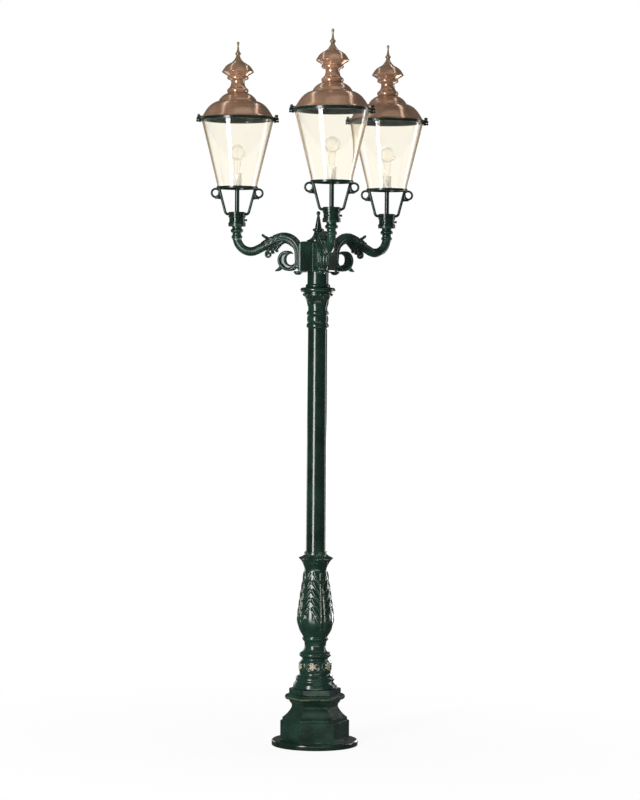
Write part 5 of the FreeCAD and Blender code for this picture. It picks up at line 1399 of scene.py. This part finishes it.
@dataclass
class SpunHoods:
    """Hoods spun from sheet copper with their turned turrets and spires, enamelled green inside.

    Each piece is turned once at the origin, with heights above the foot of the hood, and copied. The
    outlines are in millimetres.
    """

    finishes: Finishes
    foot: float = 2.7703
    wall: float = 0.0018
    settle: float = 0.02
    lining_gap: float = 0.0006
    lining_wall: float = 0.0005
    ease: float = 0.0006
    pin_cheek: float = 1.2
    dome_facets: int = 128
    turret_facets: int = 96
    spire_facets: int = 64
    pin_facets: int = 40
    hinge_reach: float = 0.1728
    hinge_lift: float = 0.0077
    pin_hole: float = 0.0032
    eye_radius: float = 0.006
    lug_radius: float = 0.007
    lug_low: float = 0.0003
    lug_high: float = 0.0048
    root: float = 0.1525
    dome: tuple[tuple[float, float], ...] = (
        (156.6, 0.0), (158.4, 1.0), (159.0, 2.6), (158.4, 4.2), (156.4, 5.4), (154.2, 9.6), (151.4, 14.6),
        (148.0, 20.4), (144.0, 26.8), (139.6, 33.6), (134.4, 40.6), (128.6, 47.4), (121.8, 54.2),
        (114.4, 60.0), (106.4, 65.0), (98.4, 68.8), (91.4, 71.2), (86.6, 72.4), (84.6, 73.2), (83.4, 74.8),
        (83.0, 76.8), (81.2, 81.0), (77.4, 86.0), (72.2, 91.6), (66.2, 96.8), (59.6, 101.4), (52.8, 105.2),
        (46.8, 108.0), (40.0, 110.0),
    )
    turret: tuple[tuple[float, float], ...] = (
        (0.0, 106.5), (38.0, 106.5), (42.6, 109.6), (46.2, 113.0), (47.8, 118.0), (47.2, 123.2),
        (44.2, 127.8), (40.0, 130.4), (36.6, 134.0), (33.4, 139.0), (31.2, 146.0), (30.0, 153.0),
        (29.6, 159.0), (30.8, 163.4), (34.6, 166.4), (41.0, 168.2), (45.6, 170.6), (47.6, 174.6),
        (47.2, 178.6), (44.4, 182.2), (45.4, 184.2), (48.8, 187.2), (53.6, 190.4), (59.4, 193.8),
        (65.2, 197.4), (69.4, 200.4), (71.0, 201.8), (71.0, 203.2), (69.4, 206.2), (66.8, 210.4),
        (63.8, 215.2), (60.6, 220.2), (56.6, 225.6), (51.2, 231.0), (44.6, 235.8), (37.2, 240.0),
        (30.6, 243.4), (25.2, 247.2), (20.6, 252.0), (0.0, 252.0),
    )
    spire: tuple[tuple[float, float], ...] = (
        (0.0, 250.0), (20.4, 250.0), (20.4, 252.2), (16.8, 257.0), (13.4, 262.0), (10.6, 267.0), (8.8, 272.0),
        (8.0, 276.0), (10.2, 278.4), (12.4, 281.4), (12.8, 284.2), (11.6, 287.2), (8.6, 289.8), (6.8, 293.0),
        (5.4, 298.4), (4.4, 305.0), (3.8, 313.0), (3.5, 320.6), (4.6, 323.0), (5.8, 326.6), (6.0, 330.0),
        (4.8, 333.8), (2.6, 336.4), (0.0, 337.4),
    )

    def shell(self, inset: float, wall: float) -> bpy.types.Object:
        """Turn a thin shell inside the dome's skin.

        Args:
            inset: Distance of its outside from the skin.
            wall: Its thickness.

        Returns:
            The shell.
        """
        skin = metres(self.dome)
        outer = [(radius - inset, height - inset * min(1.0, height / self.settle)) for radius, height in skin]
        inner = [(radius - wall, height - wall * min(1.0, height / self.settle)) for radius, height in outer]
        return turned(outer + inner[::-1] + [outer[0]], self.dome_facets)

    def hood(self) -> bpy.types.Object:
        """Turn the hood and give it its hinge eye and its catch lug."""
        half, cheek = self.eye_radius, self.hinge_reach - self.pin_cheek * self.pin_hole
        eye = self.tube(self.eye_radius, -half, half)
        alone(eye)
        eye.rotation_euler = (math.radians(90.0), 0.0, 0.0)
        bpy.ops.object.transform_apply(location=True, rotation=True, scale=True)
        placed(eye, -self.hinge_reach, 0.0, self.hinge_lift)
        tongue = block(
            (-cheek, -half, self.hinge_lift - half), (-self.root, half, self.hinge_lift), self.ease
        )
        ring = placed(self.tube(self.lug_radius, self.lug_low, self.lug_high), self.hinge_reach)
        lug = block(
            (self.root, -self.lug_radius, self.lug_low), (cheek, self.lug_radius, self.lug_high), self.ease
        )
        return joined([self.shell(0.0, self.wall), eye, tongue, ring, lug])

    def tube(self, radius: float, low: float, high: float) -> bpy.types.Object:
        """Turn a short tube round the hole of a pin.

        Args:
            radius: Its outer radius.
            low: Height of its lower end.
            high: Height of its upper end.

        Returns:
            The tube, upright at the origin.
        """
        hole = self.pin_hole
        outline = [(hole, low), (radius, low), (radius, high), (hole, high), (hole, low)]
        return turned(outline, self.pin_facets)

    def build(self) -> None:
        """Model each piece once and hang a copy over each lantern."""
        looks = self.finishes
        hood = self.hood()
        lining = self.shell(self.wall + self.lining_gap, self.lining_wall)
        turret = turned(metres(self.turret), self.turret_facets)
        spire = turned(metres(self.spire), self.spire_facets)
        patterns = (
            ("spun_hood_", hood, looks.copper, "copper", "hood_"),
            ("hood_lining_", lining, looks.plain, "enamel", None),
            ("vent_turret_", turret, looks.copper, "copper", "turret_"),
            ("turned_spire_", spire, looks.brass, "brass", "spire_"),
        )
        for name in LANTERNS:
            middle = centre_of("lamp_holder_" + name)
            for title, pattern, finish, slot, node in patterns:
                piece = placed(copied(pattern), middle.x, middle.y, self.foot)
                finished(piece, title + name, finish, name + "_hood")
                if node:
                    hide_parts(node + name)
        for _, pattern, _, _, _ in patterns:
            bpy.data.objects.remove(pattern, do_unlink=True)


@dataclass
class Castings:
    """Pieces of the frame that keep their own shape and only get a finish."""

    nodes: dict[str, bpy.types.Object]
    finishes: Finishes

    def finish_of(self, name: str) -> bpy.types.Material:
        """Choose the finish of a node.

        Args:
            name: Name of the node.

        Returns:
            Its material.
        """
        kind = name
        for side in LANTERNS:
            kind = kind.removesuffix("_" + side)
        looks = self.finishes
        chosen = {
            "hood": looks.copper, "turret": looks.copper, "spire": looks.brass, "shade": looks.glass,
            "bulb": looks.lamp, "lamp_holder": looks.porcelain, "shade_seal": looks.rubber,
            "door_hinge_pin": looks.steel, "door_lock": looks.steel, "hinge_pins": looks.steel,
            "plinth_bolts": looks.steel, "terminal_box": looks.plastic, "pedestal": looks.rubbed,
            "capital": looks.capital, "plinth": looks.plinth,
        }
        return chosen.get(kind, looks.plain)

    def dress(self) -> None:
        """Give every node its finish."""
        for name, node in self.nodes.items():
            node.data.materials.clear()
            node.data.materials.append(self.finish_of(name))


@dataclass(frozen=True)
class Softbox:
    """One soft lamp: its direction round the post in degrees, counted as the camera's, its distance and
    height, the width and height of its face, and its power."""

    name: str
    azimuth: float
    distance: float
    height: float
    face: tuple[float, float]
    watts: float

    def hang(self, aim_height: float) -> None:
        """Hang the lamp so that it faces the post.

        Args:
            aim_height: Height on the post's axis that it faces.
        """
        lamp = bpy.data.lights.new(self.name, "AREA")
        lamp.shape = "RECTANGLE"
        lamp.size, lamp.size_y = self.face
        lamp.energy = self.watts
        holder = bpy.data.objects.new(self.name, lamp)
        bpy.context.scene.collection.objects.link(holder)
        turn = math.radians(self.azimuth)
        holder.location = (math.sin(turn) * self.distance, -math.cos(turn) * self.distance, self.height)
        aim = Vector((0.0, 0.0, aim_height)) - holder.location
        holder.rotation_euler = aim.to_track_quat("-Z", "Y").to_euler()


@dataclass
class Studio:
    """White floor, soft light and the camera of the view.

    The rails above the hoods draw their bright streaks, and the low back lamps show the rear of the post.
    """

    lamps: tuple[Softbox, ...] = (
        Softbox("key_strip", -38.0, 5.0, 1.9, (1.2, 4.6), 330.0),
        Softbox("side_strip", 113.0, 4.2, 1.9, (0.8, 4.2), 46.0),
        Softbox("back_strip", -150.0, 3.2, 0.7, (1.4, 1.2), 9.0),
        Softbox("back_right_strip", 150.0, 3.2, 0.7, (1.4, 1.2), 30.0),
        Softbox("floor_bounce", 0.0, 2.4, 0.12, (3.4, 0.2), 15.0),
        Softbox("top_box", 20.0, 2.2, 5.6, (3.0, 3.0), 15.0),
        Softbox("right_rail", 110.0, 1.55, 5.0, (3.4, 0.2), 9.0),
        Softbox("left_rail", -116.0, 1.55, 5.0, (3.4, 0.2), 6.0),
    )
    lamp_aim: float = 1.6
    azimuth_degrees: float = -3.2
    distance: float = 11.44
    height: float = 1.83
    aim_height: float = 1.522
    aim_right: float = 0.0128
    roll_degrees: float = 0.42
    lens_mm: float = 117.0
    view_depth: float = 200.0
    floor_size: float = 60.0
    floor_colour: str = "#F2F2F0"
    floor_roughness: float = 0.9
    shadow_near: float = 0.3
    shadow_far: float = 2.2
    shadow_glow: float = 0.9
    ambient: float = 0.3
    mirror_share: float = 0.11
    glass_share: float = 1.07

    def build(self) -> None:
        """Set the world, floor, lamps and camera."""
        bpy.context.scene.view_settings.view_transform = "Standard"
        self.world()
        self.floor()
        for lamp in self.lamps:
            lamp.hang(self.lamp_aim)
        self.camera()

    def world(self) -> None:
        """White backdrop for the eye, for glass and more dimly for metal, and even light for the rest."""
        world = bpy.data.worlds.new("studio")
        bpy.context.scene.world = world
        world.use_nodes = True
        tree = world.node_tree
        tree.nodes.clear()
        path = add_node(tree, "ShaderNodeLightPath")
        lit = add_node(
            tree, "ShaderNodeMath", {1: self.ambient}, {0: path.outputs["Is Camera Ray"]},
            operation="MAXIMUM",
        )
        mirrored = add_node(
            tree, "ShaderNodeMix", {"B": self.mirror_share},
            {"Factor": path.outputs["Is Glossy Ray"], "A": lit.outputs["Value"]}, data_type="FLOAT",
        )
        level = add_node(
            tree, "ShaderNodeMix", {"B": self.glass_share},
            {"Factor": path.outputs["Is Transmission Ray"], "A": mirrored.outputs["Result"]},
            data_type="FLOAT",
        )
        sky = add_node(
            tree, "ShaderNodeBackground", {"Color": WHITE}, {"Strength": level.outputs["Result"]}
        )
        add_node(tree, "ShaderNodeOutputWorld", links={"Surface": sky.outputs["Background"]})

    def floor(self) -> None:
        """Pale floor that stays white to the eye and keeps a faint shadow."""
        bpy.ops.mesh.primitive_plane_add(size=self.floor_size, location=(0.0, 0.0, 0.0))
        floor = bpy.context.object
        floor.name = "studio_floor"
        material, tree, shader = new_material("pale_floor_paint")
        shader.inputs["Base Color"].default_value = linear(self.floor_colour)
        shader.inputs["Roughness"].default_value = self.floor_roughness
        path = add_node(tree, "ShaderNodeLightPath")
        glow = add_node(tree, "ShaderNodeEmission", {"Color": WHITE, "Strength": 1.0})
        seen = add_node(
            tree, "ShaderNodeMath",
            links={0: path.outputs["Is Camera Ray"], 1: path.outputs["Is Transmission Ray"]},
            operation="MAXIMUM",
        )
        place = add_node(tree, "ShaderNodeTexCoord").outputs["Object"]
        away = add_node(tree, "ShaderNodeVectorMath", links={0: place}, operation="LENGTH")
        fade = add_node(
            tree, "ShaderNodeMapRange",
            {"From Min": self.shadow_near, "From Max": self.shadow_far, "To Min": self.shadow_glow},
            {"Value": away.outputs["Value"]},
        )
        share = add_node(
            tree, "ShaderNodeMath", links={0: seen.outputs["Value"], 1: fade.outputs["Result"]},
            operation="MULTIPLY",
        )
        dim = add_node(tree, "ShaderNodeEmission", {"Color": WHITE, "Strength": self.mirror_share})
        mirrored = add_node(
            tree, "ShaderNodeMixShader",
            links={0: path.outputs["Is Glossy Ray"], 1: shader.outputs["BSDF"], 2: dim.outputs["Emission"]},
        )
        mix = add_node(
            tree, "ShaderNodeMixShader",
            links={0: share.outputs["Value"], 1: mirrored.outputs["Shader"], 2: glow.outputs["Emission"]},
        )
        output = next(node for node in tree.nodes if node.bl_idname == "ShaderNodeOutputMaterial")
        tree.links.new(mix.outputs["Shader"], output.inputs["Surface"])
        floor.data.materials.append(material)

    def camera(self) -> None:
        """Place the camera where the photographer stood."""
        turn = math.radians(self.azimuth_degrees)
        lens = bpy.data.cameras.new("view")
        lens.lens = self.lens_mm
        lens.clip_end = self.view_depth
        camera = bpy.data.objects.new("view", lens)
        bpy.context.scene.collection.objects.link(camera)
        camera.location = (math.sin(turn) * self.distance, -math.cos(turn) * self.distance, self.height)
        right = Vector((math.cos(turn), math.sin(turn), 0.0))
        aim = Vector((0.0, 0.0, self.aim_height)) + right * self.aim_right - camera.location
        lean = Quaternion((0.0, 0.0, 1.0), math.radians(self.roll_degrees))
        camera.rotation_euler = (aim.to_track_quat("-Z", "Y") @ lean).to_euler()
        bpy.context.scene.camera = camera


def main() -> None:
    """Build the scene and report each group of pieces."""
    logging.basicConfig(level=logging.INFO, format="%(name)s: %(message)s")
    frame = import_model()
    bpy.ops.object.select_all(action="DESELECT")
    finishes = Finishes()
    Castings(frame["nodes"], finishes).dress()
    LOG.info("castings dressed: %d", len(frame["nodes"]))
    ScrollArms(finishes.arm_enamel_worn_and_lit).build()
    LeafedPedestal(finishes.rubbed, finishes.gilt).build()
    Lamps(finishes.lamp, finishes.steel).build()
    CradleTrim(finishes.plain).build()
    SpunHoods(finishes).build()
    LOG.info("arms, pedestal, lamps, trim and hoods modelled")
    Studio().build()
    LOG.info("studio set")


if __name__ == "__main__":
    main()
